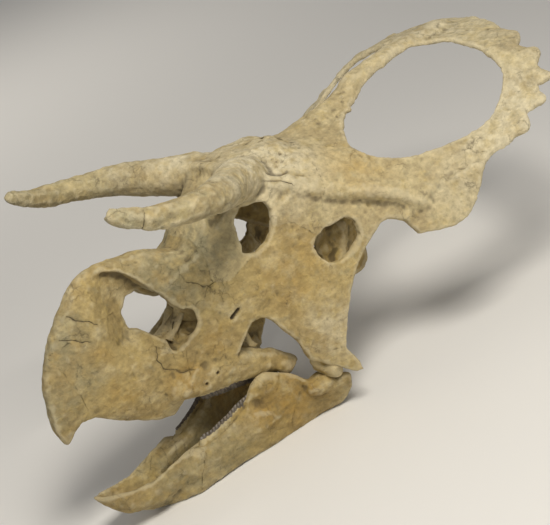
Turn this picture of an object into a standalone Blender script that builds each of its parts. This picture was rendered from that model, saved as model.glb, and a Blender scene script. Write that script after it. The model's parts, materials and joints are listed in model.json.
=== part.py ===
"""Skull and lower jaw of a short-snouted horned dinosaur, mouth open, resting on its jaw.

Metres, +Z up. The snout points to -X, the animal's left is -Y, and the floor is z = 0.
The skull is modelled whole, symmetric about the plane y = 0, and then parted along its sutures.
Lengths along the skull are first measured from the tip of the lower beak (x = 0) and heights
from the underside of the jaw; the last step turns and moves all bones into the resting place.
"""

import math

import bmesh
import bpy
from mathutils import Matrix, Vector

# ---------------------------------------------------------------- driving sizes (metres)
SUTURE_GAP = 0.0003          # every two bones meet across a gap this wide
GRAIN = 0.005                # grain of a fused form before it is simplified
FINE_GRAIN = 0.0045
WALL = 0.020                 # thickness of the cheek wall
FRILL_THICKNESS = 0.014      # thickness of the frill sheet
SEPTUM = 0.009               # half-thickness of the plate between the nostrils
REST_PITCH = math.radians(3.43)  # nose-up turn that sets the jaw's underside level
REST_DROP = 0.0296           # height of the turned jaw's underside below the first level

SKULL_TRIANGLES = 2700       # facets of both halves of the outer skull, before it is parted
BRAINCASE_TRIANGLES = 320
QUADRATE_TRIANGLES = 200
PTERYGOID_TRIANGLES = 150
JAW_TRIANGLES = 840
TOOTH_PITCH = 0.014          # from one crown to the next
TOOTH_HEIGHT = 0.018         # from a crown's tip down into the jaw
TOOTH_THICKNESS = 0.008
BONE_ROUGHNESS = 0.72
WORKSHOP = "forms_and_cutters"   # collection of what is still being made

# ---------------------------------------------------------------- measured forms
# Half-width of the snout, cheek and squamosal wall: one row per station along the
# skull, one column per height, like a ship's table of half-breadths.
WALL_STATIONS = (-0.02, 0.10, 0.20, 0.30, 0.40, 0.50, 0.60, 0.70, 0.80, 0.90, 1.00, 1.10)
WALL_HEIGHTS = (0.10, 0.20, 0.30, 0.40, 0.50, 0.60, 0.68)
WALL_BREADTHS = (
    (0.018, 0.018, 0.018, 0.020, 0.020, 0.018, 0.018),
    (0.036, 0.036, 0.038, 0.040, 0.038, 0.032, 0.026),
    (0.048, 0.048, 0.056, 0.062, 0.058, 0.044, 0.030),
    (0.060, 0.060, 0.070, 0.080, 0.075, 0.052, 0.034),
    (0.080, 0.085, 0.100, 0.106, 0.090, 0.054, 0.038),
    (0.120, 0.125, 0.135, 0.139, 0.120, 0.082, 0.056),
    (0.190, 0.190, 0.180, 0.172, 0.157, 0.146, 0.116),
    (0.255, 0.245, 0.225, 0.207, 0.192, 0.178, 0.146),
    (0.280, 0.265, 0.245, 0.228, 0.215, 0.190, 0.150),
    (0.330, 0.320, 0.305, 0.295, 0.265, 0.220, 0.170),
    (0.390, 0.385, 0.380, 0.365, 0.335, 0.280, 0.220),
    (0.450, 0.450, 0.445, 0.440, 0.430, 0.380, 0.300),
)
# Height of the roof and frill: one row per station, one column per distance from the midline.
FRILL_STATIONS = (0.60, 0.75, 0.90, 1.05, 1.20, 1.35, 1.50)
FRILL_REACHES = (0.0, 0.1, 0.2, 0.3, 0.4, 0.5)
FRILL_HEIGHTS = (
    (0.682, 0.664, 0.510, 0.350, 0.200, 0.100),
    (0.672, 0.660, 0.570, 0.420, 0.300, 0.200),
    (0.656, 0.623, 0.574, 0.475, 0.350, 0.220),
    (0.674, 0.646, 0.592, 0.526, 0.438, 0.360),
    (0.701, 0.686, 0.638, 0.580, 0.525, 0.470),
    (0.706, 0.700, 0.676, 0.645, 0.588, 0.510),
    (0.697, 0.694, 0.680, 0.650, 0.600, 0.530),
)

# Snout and roof in side view: (station, underside, top).
SNOUT_PROFILE = (
    (-0.022, 0.300, 0.335), (-0.016, 0.268, 0.375), (-0.008, 0.257, 0.408), (0.004, 0.262, 0.440),
    (0.020, 0.278, 0.468), (0.045, 0.290, 0.500), (0.080, 0.283, 0.540), (0.116, 0.253, 0.570),
    (0.145, 0.232, 0.594), (0.180, 0.212, 0.610), (0.225, 0.186, 0.614), (0.262, 0.178, 0.609),
    (0.296, 0.196, 0.601), (0.335, 0.240, 0.594), (0.370, 0.262, 0.580), (0.395, 0.285, 0.566),
    (0.412, 0.350, 0.556), (0.430, 0.420, 0.550), (0.450, 0.480, 0.560), (0.475, 0.535, 0.588),
    (0.510, 0.575, 0.622), (0.550, 0.598, 0.645), (0.600, 0.612, 0.660), (0.640, 0.622, 0.664),
)
# Cheek and squamosal wall in side view, as (station, height), from the brow backwards.
CHEEK_OUTLINE = (
    (0.36, 0.52), (0.45, 0.535), (0.55, 0.605), (0.66, 0.628), (0.745, 0.575), (0.805, 0.535),
    (0.883, 0.498), (0.95, 0.462), (1.02, 0.474), (1.088, 0.492), (1.078, 0.476), (1.063, 0.439),
    (1.042, 0.399), (1.015, 0.370), (0.985, 0.361), (0.955, 0.361), (0.917, 0.369), (0.909, 0.395),
    (0.893, 0.418), (0.864, 0.428), (0.835, 0.407), (0.812, 0.384), (0.768, 0.342), (0.725, 0.292),
    (0.700, 0.256), (0.680, 0.215), (0.668, 0.178), (0.680, 0.128), (0.676, 0.104), (0.648, 0.124),
    (0.612, 0.152), (0.582, 0.180), (0.574, 0.230), (0.547, 0.290), (0.524, 0.324), (0.497, 0.331),
    (0.470, 0.300), (0.430, 0.262), (0.36, 0.235), (0.31, 0.24), (0.30, 0.36), (0.33, 0.46),
)
ORBIT_OUTLINE = (
    (0.608, 0.602), (0.626, 0.585), (0.630, 0.557), (0.622, 0.531), (0.606, 0.507), (0.585, 0.493),
    (0.556, 0.486), (0.536, 0.500), (0.532, 0.528), (0.541, 0.558), (0.564, 0.588), (0.586, 0.602),
)
TEMPORAL_OUTLINE = (
    (0.690, 0.440), (0.706, 0.465), (0.731, 0.477), (0.764, 0.477), (0.794, 0.468), (0.811, 0.446),
    (0.810, 0.422), (0.794, 0.400), (0.768, 0.387), (0.741, 0.382), (0.714, 0.387), (0.695, 0.410),
)
# Hole in the plate between the nostrils, and the hollow that leads to it from each side.
SEPTUM_OUTLINE = (
    (0.241, 0.458), (0.247, 0.486), (0.264, 0.503), (0.293, 0.510), (0.326, 0.499), (0.350, 0.478),
    (0.369, 0.445), (0.371, 0.412), (0.348, 0.384), (0.318, 0.369), (0.296, 0.380), (0.276, 0.415),
    (0.252, 0.428),
)
FOSSA_OUTLINE = (
    (0.166, 0.592), (0.193, 0.598), (0.218, 0.598), (0.244, 0.590), (0.266, 0.575), (0.290, 0.547),
    (0.308, 0.514), (0.327, 0.486), (0.340, 0.458), (0.352, 0.439), (0.372, 0.431), (0.380, 0.412),
    (0.370, 0.387), (0.348, 0.364), (0.318, 0.352), (0.280, 0.345), (0.215, 0.345), (0.165, 0.380),
    (0.125, 0.450), (0.115, 0.530), (0.138, 0.572),
)

# Half of the frill seen from above, as (station, distance from the midline).
FRILL_EDGE = (
    (1.104, 0.392), (1.060, 0.384), (1.000, 0.352), (0.950, 0.310), (0.883, 0.258), (0.805, 0.208),
    (0.745, 0.186), (0.680, 0.166), (0.610, 0.136), (0.585, 0.060), (0.580, 0.0),
)
FRILL_NOTCHES = (            # the notches between the bones along the frill's rear edge
    (1.534, 0.012), (1.515, 0.085), (1.478, 0.188), (1.423, 0.290), (1.388, 0.362), (1.338, 0.402),
    (1.262, 0.410), (1.150, 0.400),
)
SCALLOP_HEIGHTS = (0.006, 0.010, 0.024, 0.026, 0.030, 0.024, 0.020)
FENESTRA_OUTLINE = (
    (0.980, 0.074), (0.932, 0.124), (0.918, 0.174), (0.940, 0.214), (1.000, 0.261), (1.094, 0.305),
    (1.166, 0.338), (1.218, 0.346), (1.268, 0.338), (1.314, 0.312), (1.348, 0.243), (1.360, 0.155),
    (1.350, 0.080), (1.298, 0.036), (1.160, 0.031), (1.060, 0.043),
)

# Branch of the lower jaw: (station, underside, top, outer edge below, outer edge above, thickness).
JAW_STATIONS = (
    (0.150, -0.020, 0.020, 0.014, 0.022, 0.028), (0.185, -0.0195, 0.058, 0.048, 0.050, 0.034),
    (0.230, -0.017, 0.078, 0.075, 0.062, 0.040), (0.280, -0.014, 0.086, 0.085, 0.064, 0.046),
    (0.340, -0.0105, 0.104, 0.094, 0.074, 0.048), (0.390, -0.0085, 0.122, 0.102, 0.086, 0.046),
    (0.418, -0.0070, 0.136, 0.108, 0.102, 0.034), (0.440, -0.0060, 0.172, 0.112, 0.112, 0.026),
    (0.474, -0.0045, 0.187, 0.118, 0.118, 0.022), (0.513, -0.0030, 0.172, 0.124, 0.126, 0.026),
    (0.549, -0.0010, 0.148, 0.130, 0.138, 0.036), (0.583, 0.0008, 0.114, 0.137, 0.160, 0.046),
    (0.612, 0.0025, 0.092, 0.144, 0.185, 0.052), (0.638, 0.0050, 0.096, 0.158, 0.200, 0.050),
    (0.656, 0.034, 0.104, 0.184, 0.210, 0.040), (0.665, 0.058, 0.098, 0.194, 0.210, 0.028),
)
# Scoop of the lower beak: (station, keel, rim, half-width at the rim, depth of the trough).
SCOOP_STATIONS = (
    (-0.002, 0.104, 0.1115, 0.004, 0.0), (0.012, 0.080, 0.104, 0.015, 0.004),
    (0.035, 0.050, 0.097, 0.027, 0.016), (0.065, 0.024, 0.088, 0.036, 0.028),
    (0.105, 0.000, 0.080, 0.045, 0.036), (0.140, -0.014, 0.078, 0.052, 0.042),
    (0.180, -0.0195, 0.090, 0.055, 0.056), (0.222, -0.0175, 0.099, 0.060, 0.080),
    (0.252, -0.016, 0.096, 0.064, 0.092), (0.268, -0.010, 0.080, 0.066, 0.080),
)

# Sutures as lines in side view, (station, height).
SIDE_SUTURES = {
    "beak": ((0.092, 0.18), (0.068, 0.300), (0.056, 0.400), (0.034, 0.470), (-0.01, 0.56)),
    "nasal_front": ((-0.10, 0.482), (0.040, 0.484), (0.100, 0.494), (0.180, 0.500), (0.290, 0.480)),
    "nasal_rear": ((0.335, 0.425), (0.400, 0.440), (0.440, 0.470), (0.453, 0.520), (0.462, 0.620)),
    "maxilla_front": ((0.292, 0.12), (0.300, 0.235), (0.320, 0.300), (0.336, 0.420)),
    "maxilla_rear": ((0.409, 0.458), (0.416, 0.370), (0.436, 0.320), (0.462, 0.285), (0.53, 0.281)),
    "brow": ((0.424, 0.470), (0.480, 0.452), (0.545, 0.480), (0.570, 0.520)),
    "orbit_rear": ((0.590, 0.530), (0.618, 0.525), (0.664, 0.520), (0.698, 0.476), (0.735, 0.440)),
    "squamosal_front": ((0.748, 0.440), (0.744, 0.520), (0.770, 0.580), (0.800, 0.640), (0.812, 0.74)),
    "squamosal_below": ((0.780, 0.430), (0.808, 0.412), (0.828, 0.385), (0.850, 0.340)),
    "epijugal": ((0.540, 0.150), (0.600, 0.186), (0.650, 0.186), (0.720, 0.140)),
}
# Sutures of the frill as lines seen from above, (station, distance to the left).
TOP_SUTURES = {
    "parietal_side": ((1.050, -0.250), (1.103, -0.345), (1.150, -0.425), (1.180, -0.500)),
    "parietal_front": ((0.960, -0.155), (0.905, -0.150), (0.865, -0.118), (0.830, -0.085), (0.78, -0.070)),
}
JAW_SUTURES = {
    "predentary": ((0.262, 0.130), (0.264, 0.085), (0.264, 0.056), (0.241, 0.029), (0.222, -0.040)),
    "hind": ((0.572, 0.190), (0.560, 0.110), (0.530, 0.070), (0.505, 0.040), (0.490, -0.040)),
}
# One point on each bone of the left half, by which its piece is found after the parting.
SKULL_SEEDS = {
    "rostral": (0.010, -0.01, 0.350), "premaxilla": (0.180, -0.02, 0.330),
    "nasal": (0.220, -0.02, 0.606), "maxilla_left": (0.360, -0.07, 0.260),
    "brow_left": (0.480, -0.22, 0.690), "jugal_left": (0.640, -0.20, 0.300),
    "epijugal_left": (0.660, -0.22, 0.130), "squamosal_left": (0.950, -0.33, 0.400),
    "parietal": (1.430, -0.02, 0.680),
}
JAW_SEEDS = {
    "predentary": (0.080, -0.03, 0.050), "dentary_left": (0.360, -0.09, 0.050),
    "hind_jaw_left": (0.600, -0.16, 0.050),
}
# Rows of tooth crowns on the left: (station, distance to the left, height of the tips).
LOWER_TEETH = (
    (0.284, -0.054, 0.103), (0.321, -0.063, 0.108), (0.366, -0.074, 0.124), (0.405, -0.083, 0.140),
    (0.450, -0.090, 0.150), (0.478, -0.094, 0.151),
)
UPPER_TEETH = (
    (0.330, -0.052, 0.198), (0.380, -0.060, 0.187), (0.440, -0.066, 0.176), (0.500, -0.070, 0.160),
    (0.542, -0.073, 0.150),
)

# Colour of each bone, as linear red, green and blue.
BONE_COLOURS = {
    "rostral": (0.47, 0.38, 0.22), "premaxilla": (0.50, 0.40, 0.24), "nasal": (0.52, 0.42, 0.26),
    "maxilla": (0.52, 0.41, 0.23), "brow": (0.55, 0.47, 0.31), "jugal": (0.51, 0.42, 0.25),
    "epijugal": (0.49, 0.41, 0.26), "squamosal": (0.55, 0.46, 0.29), "parietal": (0.55, 0.48, 0.34),
    "braincase": (0.33, 0.24, 0.14), "quadrate": (0.42, 0.31, 0.18), "pterygoid": (0.38, 0.29, 0.17),
    "predentary": (0.47, 0.38, 0.20), "dentary": (0.50, 0.40, 0.21), "hind_jaw": (0.51, 0.40, 0.20),
}

# ---------------------------------------------------------------- small mathematics
def catmull(t, p0, p1, p2, p3):
    """Point at t, from 0 to 1, on the smooth curve from p1 to p2."""
    return 0.5 * (2 * p1 + (p2 - p0) * t + (2 * p0 - 5 * p1 + 4 * p2 - p3) * t * t
                  + (3 * p1 - p0 - 3 * p2 + p3) * t ** 3)


def cell(value, marks):
    """Index of the stretch of marks that holds value, and how far along it value is."""
    value = min(max(value, marks[0]), marks[-1])
    last = len(marks) - 2
    index = max(i for i in range(last + 1) if marks[i] <= value)
    return index, (value - marks[index]) / (marks[index + 1] - marks[index])


def table(rows, row_marks, column_marks, row_value, column_value):
    """Smooth reading of a table of sizes between its rows and columns."""
    i, s = cell(row_value, row_marks)
    j, t = cell(column_value, column_marks)

    def along(row):
        row = rows[min(max(row, 0), len(rows) - 1)]
        return catmull(t, *(row[min(max(k, 0), len(row) - 1)] for k in range(j - 1, j + 3)))

    return catmull(s, *(along(k) for k in range(i - 1, i + 3)))


def wall_breadth(x, z):
    return table(WALL_BREADTHS, WALL_STATIONS, WALL_HEIGHTS, x, z)


def frill_height(x, y):
    return table(FRILL_HEIGHTS, FRILL_STATIONS, FRILL_REACHES, x, abs(y))


def smooth_path(points, steps):
    """Points on a smooth curve through the given ones, steps to each stretch."""
    points = [Vector(p) for p in points]
    ends = [2 * points[0] - points[1], *points, 2 * points[-1] - points[-2]]
    path = [catmull(k / steps, *ends[i:i + 4]) for i in range(len(points) - 1) for k in range(steps)]
    return [*path, points[-1]]


def smoothstep(low, high, value):
    t = min(max((value - low) / (high - low), 0.0), 1.0)
    return t * t * (3 - 2 * t)


# ---------------------------------------------------------------- Blender helpers
def clear_scene():
    for obj in list(bpy.data.objects):
        bpy.data.objects.remove(obj)


def collection(name):
    made = bpy.data.collections.new(name)
    bpy.context.scene.collection.children.link(made)
    return made


def new_object(name, mesh):
    obj = bpy.data.objects.new(name, mesh)
    bpy.data.collections[WORKSHOP].objects.link(obj)
    return obj


def from_bmesh(name, bm):
    mesh = bpy.data.meshes.new(name)
    bm.to_mesh(mesh)
    bm.free()
    return new_object(name, mesh)


def settle(obj):
    """Applies the object's modifiers and its place to its mesh."""
    bpy.context.view_layer.update()
    seen = obj.evaluated_get(bpy.context.evaluated_depsgraph_get())
    mesh = bpy.data.meshes.new_from_object(seen)
    mesh.transform(obj.matrix_world)
    name = obj.name
    bpy.data.objects.remove(obj)
    obj = new_object(name, mesh)
    obj.name = name
    return obj


def weld(obj, distance=0.00001):
    bm = bmesh.new()
    bm.from_mesh(obj.data)
    bmesh.ops.remove_doubles(bm, verts=bm.verts, dist=distance)
    bmesh.ops.recalc_face_normals(bm, faces=bm.faces)
    bm.to_mesh(obj.data)
    bm.free()
    return obj


def copy_of(obj, name):
    return new_object(name, obj.data.copy())


def mirrored(obj, name):
    """A copy on the animal's other side."""
    twin = copy_of(obj, name)
    twin.data.transform(Matrix.Scale(-1, 4, (0, 1, 0)))
    twin.data.flip_normals()
    return twin


def joined(name, pieces):
    """One mesh of several closed shells, which a voxel remesh then fuses."""
    bm = bmesh.new()
    for piece in pieces:
        bm.from_mesh(piece.data)
        bpy.data.objects.remove(piece)
    return from_bmesh(name, bm)


def mirrored_whole(obj):
    """Makes the left half of a midline bone whole."""
    bm = bmesh.new()
    bm.from_mesh(obj.data)
    for vert in bm.verts:
        if abs(vert.co.y) < 0.00002:
            vert.co.y = 0.0
    bmesh.ops.delete(bm, geom=[f for f in bm.faces if all(v.co.y == 0.0 for v in f.verts)], context="FACES")
    bmesh.ops.mirror(bm, geom=[*bm.verts, *bm.edges, *bm.faces], axis="Y", merge_dist=0.000001)
    bmesh.ops.remove_doubles(bm, verts=bm.verts, dist=0.000005)
    bmesh.ops.recalc_face_normals(bm, faces=bm.faces)
    bm.to_mesh(obj.data)
    bm.free()
    return obj


def boolean(obj, other, operation):
    modifier = obj.modifiers.new(operation, "BOOLEAN")
    modifier.operation = operation
    modifier.object = other
    modifier.solver = "EXACT"
    modifier.use_self = len(obj.data.polygons) < 8000
    return settle(obj)


def within(obj, region):
    """What of the body lies inside the region."""
    obj = boolean(obj, region, "INTERSECT")
    bpy.data.objects.remove(region)
    return obj


def swollen(obj):
    """A copy grown by more than a suture's width, also at its sharp edges, to fit a neighbour with."""
    grown = copy_of(obj, obj.name + "_swollen")
    grow = grown.modifiers.new("grow", "DISPLACE")
    grow.strength = 2 * SUTURE_GAP
    grow.mid_level = 0.0
    return settle(grown)


def cut(obj, *cutters):
    for cutter in cutters:
        obj = boolean(obj, cutter, "DIFFERENCE")
        bpy.data.objects.remove(cutter)
    return obj


def fused(obj, voxel, rounds):
    """Fuses overlapping shells and rounds the joins, as bone does."""
    remesh = obj.modifiers.new("fuse", "REMESH")
    remesh.mode = "VOXEL"
    remesh.voxel_size = voxel
    soften = obj.modifiers.new("soften", "SMOOTH")
    soften.factor = 0.5
    soften.iterations = rounds
    return settle(obj)


def simplified(obj, triangles):
    count = sum(len(p.vertices) - 2 for p in obj.data.polygons)
    reduce = obj.modifiers.new("simplify", "DECIMATE")
    reduce.ratio = min(1.0, triangles / count)
    return settle(obj)


def bodies(obj):
    """Splits a mesh into one object for each body; bodies that only touch along an edge are parted."""
    bm = bmesh.new()
    bm.from_mesh(obj.data)
    left = set(bm.faces)
    found = []
    while left:
        front = [left.pop()]
        body = set(front)
        while front:
            shared = [e for face in front for e in face.edges if len(e.link_faces) == 2]
            front = list({face for edge in shared for face in edge.link_faces} - body)
            body.update(front)
        left -= body
        piece = bm.copy()
        keep = {face.index for face in body}
        bmesh.ops.delete(piece, geom=[f for f in piece.faces if f.index not in keep], context="FACES")
        found.append(from_bmesh(obj.name, piece))
    bm.free()
    bpy.data.objects.remove(obj)
    return found


def volume(obj):
    bm = bmesh.new()
    bm.from_mesh(obj.data)
    size = bm.calc_volume()
    bm.free()
    return size


def largest_body(obj):
    """Keeps the biggest body and drops the crumbs that a cut leaves."""
    name = obj.name
    ranked = sorted(bodies(obj), key=volume)
    for crumb in ranked[:-1]:
        bpy.data.objects.remove(crumb)
    ranked[-1].name = name
    return ranked[-1]


def named_bodies(obj, seeds):
    """Splits a parted body and names each piece after the seed point that lies nearest to it."""
    pieces = bodies(obj)
    chosen = {}
    for name, seed in seeds.items():
        def distance(piece):
            return (piece.closest_point_on_mesh(seed)[1] - Vector(seed)).length

        chosen[name] = min(pieces, key=distance)
    for piece in pieces:
        if piece not in chosen.values():
            bpy.data.objects.remove(piece)
    for name, piece in chosen.items():
        piece.name = name
    return chosen


# ---------------------------------------------------------------- ways of making a form
def loft(name, rings):
    """Closed body through rings of equal count, capped at both ends."""
    bm = bmesh.new()
    loops = [[bm.verts.new(p) for p in ring] for ring in rings]
    count = len(rings[0])
    for low, high in zip(loops, loops[1:]):
        for k in range(count):
            n = (k + 1) % count
            bm.faces.new((low[k], low[n], high[n], high[k]))
    bm.faces.new(loops[0])
    bm.faces.new(loops[-1])
    bmesh.ops.recalc_face_normals(bm, faces=bm.faces)
    return from_bmesh(name, bm)


def smooth_path_rows(rows, steps):
    """Rows of any length, smoothly filled in between."""
    ends = [rows[0], *rows, rows[-1]]
    filled = []
    for i in range(len(rows) - 1):
        for k in range(steps):
            filled.append([catmull(k / steps, *values) for values in zip(*ends[i:i + 4])])
    return [*filled, list(rows[-1])]


def limb(name, stations, sides=16, steps=6):
    """Rounded bar: stations are (x, y, z, half-width, half-height), widths lying level."""
    path = smooth_path([s[:3] for s in stations], steps)
    sizes = smooth_path([(s[3], s[4], 0) for s in stations], steps)
    rings = []
    for i, (point, size) in enumerate(zip(path, sizes)):
        ahead = (path[min(i + 1, len(path) - 1)] - path[max(i - 1, 0)]).normalized()
        level = ahead.cross(Vector((0, 0, 1))).normalized()
        upward = level.cross(ahead).normalized()
        turns = [2 * math.pi * k / sides for k in range(sides)]
        rings.append([point + level * max(size.x, 0.001) * math.cos(a)
                      + upward * max(size.y, 0.001) * math.sin(a) for a in turns])
    return loft(name, rings)


def ball(name, centre, radii, detail=12):
    bm = bmesh.new()
    bmesh.ops.create_uvsphere(bm, u_segments=2 * detail, v_segments=detail, radius=1.0)
    bmesh.ops.scale(bm, vec=radii, verts=bm.verts)
    bmesh.ops.translate(bm, vec=centre, verts=bm.verts)
    return from_bmesh(name, bm)


def sheet(name, surface, spans, cells, thickness):
    """Grid laid on a surface and given a thickness inwards; surface maps two numbers to a point."""
    (a0, a1), (b0, b1) = spans
    bm = bmesh.new()
    bmesh.ops.create_grid(bm, x_segments=cells[0], y_segments=cells[1], size=0.5)
    for vert in bm.verts:
        a = a0 + (a1 - a0) * (vert.co.x + 0.5)
        b = b0 + (b1 - b0) * (vert.co.y + 0.5)
        vert.co = surface(a, b)
    bmesh.ops.recalc_face_normals(bm, faces=bm.faces)
    obj = from_bmesh(name, bm)
    solid = obj.modifiers.new("thickness", "SOLIDIFY")
    solid.thickness = thickness
    solid.offset = 0.0
    return weld(settle(obj))


def slab(name, spans, cells, near, far):
    """Straight-sided body across the skull, from the surface y = near(x, z) to the plane y = far."""
    (x0, x1), (z0, z1) = spans
    bm = bmesh.new()
    bmesh.ops.create_grid(bm, x_segments=cells[0], y_segments=cells[1], size=0.5)
    for vert in bm.verts:
        x, z = x0 + (x1 - x0) * (vert.co.x + 0.5), z0 + (z1 - z0) * (vert.co.y + 0.5)
        vert.co = (x, near(x, z), z)
    back = bmesh.ops.extrude_face_region(bm, geom=bm.faces[:], use_keep_orig=True)
    for vert in (v for v in back["geom"] if isinstance(v, bmesh.types.BMVert)):
        vert.co.y = far
    bmesh.ops.recalc_face_normals(bm, faces=bm.faces)
    return from_bmesh(name, bm)


def prism(name, outlines, plane, reach):
    """Straight-sided body on smooth outlines; plane is XZ (seen from the side) or XY (from above)."""
    curve = bpy.data.curves.new(name, "CURVE")
    curve.dimensions = "2D"
    curve.fill_mode = "BOTH"
    curve.extrude = reach
    curve.resolution_u = 3
    for outline in outlines:
        spline = curve.splines.new("BEZIER")
        spline.bezier_points.add(len(outline) - 1)
        spline.use_cyclic_u = True
        for point, (a, b) in zip(spline.bezier_points, outline):
            point.co = (a, b, 0)
            point.handle_left_type = point.handle_right_type = "AUTO"
    obj = new_object(name, curve)
    if plane == "XZ":
        obj.rotation_euler = (math.pi / 2, 0, 0)
    bpy.context.view_layer.update()
    return weld(settle(obj))


# ---------------------------------------------------------------- upper skull
def section(x, low, high, breadth, sides=24, squareness=0.55):
    """Ring across the skull at one station; breadth gives the half-width at a height."""
    middle, reach = (low + high) / 2, (high - low) / 2
    side = []
    for k in range(sides // 2 + 1):
        angle = math.pi * (k / (sides // 2) - 0.5)
        z = middle + reach * math.sin(angle)
        side.append((x, breadth(z) * abs(math.cos(angle)) ** squareness, z))
    return side + [(px, -py, pz) for px, py, pz in side[-2:0:-1]]


def snout_and_brow():
    """Blade of the snout, widening into the brow."""
    def breadth(x):
        return lambda z: wall_breadth(x, z) * (1 - 0.35 * smoothstep(0.46, 0.60, x))

    return loft("snout", [section(x, low, high, breadth(x)) for x, low, high in SNOUT_PROFILE])


def cheek_wall():
    """Outer wall from the nostril to the rear of the squamosal, on the left."""
    spans = ((0.28, 1.12), (0.08, 0.66))
    wall = sheet("cheek", lambda x, z: (x, -wall_breadth(x, z) + WALL / 2, z), spans, (84, 58), WALL)
    return within(wall, prism("cheek_outline", [CHEEK_OUTLINE], "XZ", 0.6))


def scalloped_edge():
    """The frill's rear edge: a low crescent between every two notches."""
    edge = []
    crescent = 5
    for (x0, y0), (x1, y1), height in zip(FRILL_NOTCHES, FRILL_NOTCHES[1:], SCALLOP_HEIGHTS):
        out = Vector((y1 - y0, x0 - x1)).normalized()
        for k in range(crescent):
            t = k / crescent
            swell = height * math.sin(math.pi * t) ** 0.7
            edge.append((x0 + (x1 - x0) * t + out.x * swell, y0 + (y1 - y0) * t + out.y * swell))
    return edge + [FRILL_NOTCHES[-1]]


def frill():
    """Roof, squamosal tops and parietal as one curved sheet with its two windows."""
    spans = ((0.56, 1.57), (-0.50, 0.50))
    roof = sheet("frill", lambda x, y: (x, y, frill_height(x, y) - FRILL_THICKNESS / 2), spans,
                 (100, 80), FRILL_THICKNESS)
    left = [*scalloped_edge(), *FRILL_EDGE]
    outline = [(x, -y) for x, y in left] + [(x, y) for x, y in reversed(left[:-1])]
    windows = [[(x, side * y) for x, y in FENESTRA_OUTLINE] for side in (-1, 1)]
    return within(roof, prism("frill_outline", [outline, *windows], "XY", 1.0))


def parietal_bar():
    return limb("bar", [(0.66, 0, 0.650, 0.070, 0.020), (0.80, 0, 0.644, 0.046, 0.017),
                        (0.95, 0, 0.652, 0.034, 0.019), (1.10, 0, 0.680, 0.032, 0.018),
                        (1.25, 0, 0.699, 0.036, 0.015), (1.42, 0, 0.697, 0.040, 0.011),
                        (1.50, 0, 0.690, 0.03, 0.010)])


def squamosal_ridge():
    return limb("ridge", [(0.640, -0.150, 0.622, 0.022, 0.026), (0.703, -0.166, 0.598, 0.018, 0.020),
                          (0.743, -0.184, 0.573, 0.016, 0.017), (0.805, -0.212, 0.535, 0.015, 0.015),
                          (0.883, -0.258, 0.498, 0.015, 0.013), (0.918, -0.284, 0.478, 0.013, 0.012),
                          (0.947, -0.311, 0.451, 0.010, 0.010), (0.966, -0.332, 0.430, 0.005, 0.005)])


def horn():
    return limb("horn", [(0.720, -0.078, 0.628, 0.022, 0.018), (0.668, -0.084, 0.640, 0.046, 0.036),
                         (0.620, -0.106, 0.653, 0.058, 0.052),
                         (0.553, -0.152, 0.667, 0.050, 0.049), (0.476, -0.228, 0.691, 0.042, 0.041),
                         (0.376, -0.270, 0.711, 0.034, 0.034), (0.270, -0.268, 0.739, 0.025, 0.026),
                         (0.205, -0.247, 0.774, 0.019, 0.019), (0.188, -0.241, 0.786, 0.012, 0.012)])


def maxilla():
    return limb("maxilla", [(0.26, -0.045, 0.262, 0.024, 0.035), (0.34, -0.062, 0.248, 0.032, 0.044),
                            (0.42, -0.076, 0.238, 0.032, 0.044), (0.512, -0.078, 0.198, 0.026, 0.034),
                            (0.570, -0.082, 0.173, 0.021, 0.023), (0.602, -0.086, 0.155, 0.011, 0.011)])


def fossa_cutter():
    """Hollow in the snout's side, shallow ahead and below, down to the septum at the nostril."""
    def depth(x, z):
        t = smoothstep(0.115, 0.245, x) * max(smoothstep(0.345, 0.435, z), smoothstep(0.290, 0.320, x))
        return (wall_breadth(x, z) + 0.006) * (1 - t) + SEPTUM * t

    hollow = slab("fossa", ((0.09, 0.42), (0.32, 0.63)), (33, 31), lambda x, z: -depth(x, z), -0.4)
    return within(hollow, prism("fossa_outline", [FOSSA_OUTLINE], "XZ", 0.6))


def nasal_chamber():
    """Dark pocket behind the rear rim of the left nostril."""
    return ball("chamber", (0.376, -0.052, 0.396), (0.042, 0.039, 0.044))


def outer_skull():
    """The fused outer skull, whole, with its openings, and then its left half."""
    left = [cheek_wall(), squamosal_ridge(), horn(), maxilla()]
    right = [mirrored(piece, piece.name + "_right") for piece in left]
    skull = joined("skull", [snout_and_brow(), frill(), parietal_bar(), *left, *right])
    skull = fused(skull, GRAIN, 4)
    hollows = [fossa_cutter(), nasal_chamber()]
    skull = cut(skull, *[mirrored(hollow, hollow.name + "_right") for hollow in hollows], *hollows,
                prism("septum", [SEPTUM_OUTLINE], "XZ", 0.05),
                prism("orbit", [ORBIT_OUTLINE], "XZ", 0.3),
                prism("temporal", [TEMPORAL_OUTLINE], "XZ", 0.5))
    return left_half(simplified(fused(skull, FINE_GRAIN, 3), SKULL_TRIANGLES))


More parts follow.
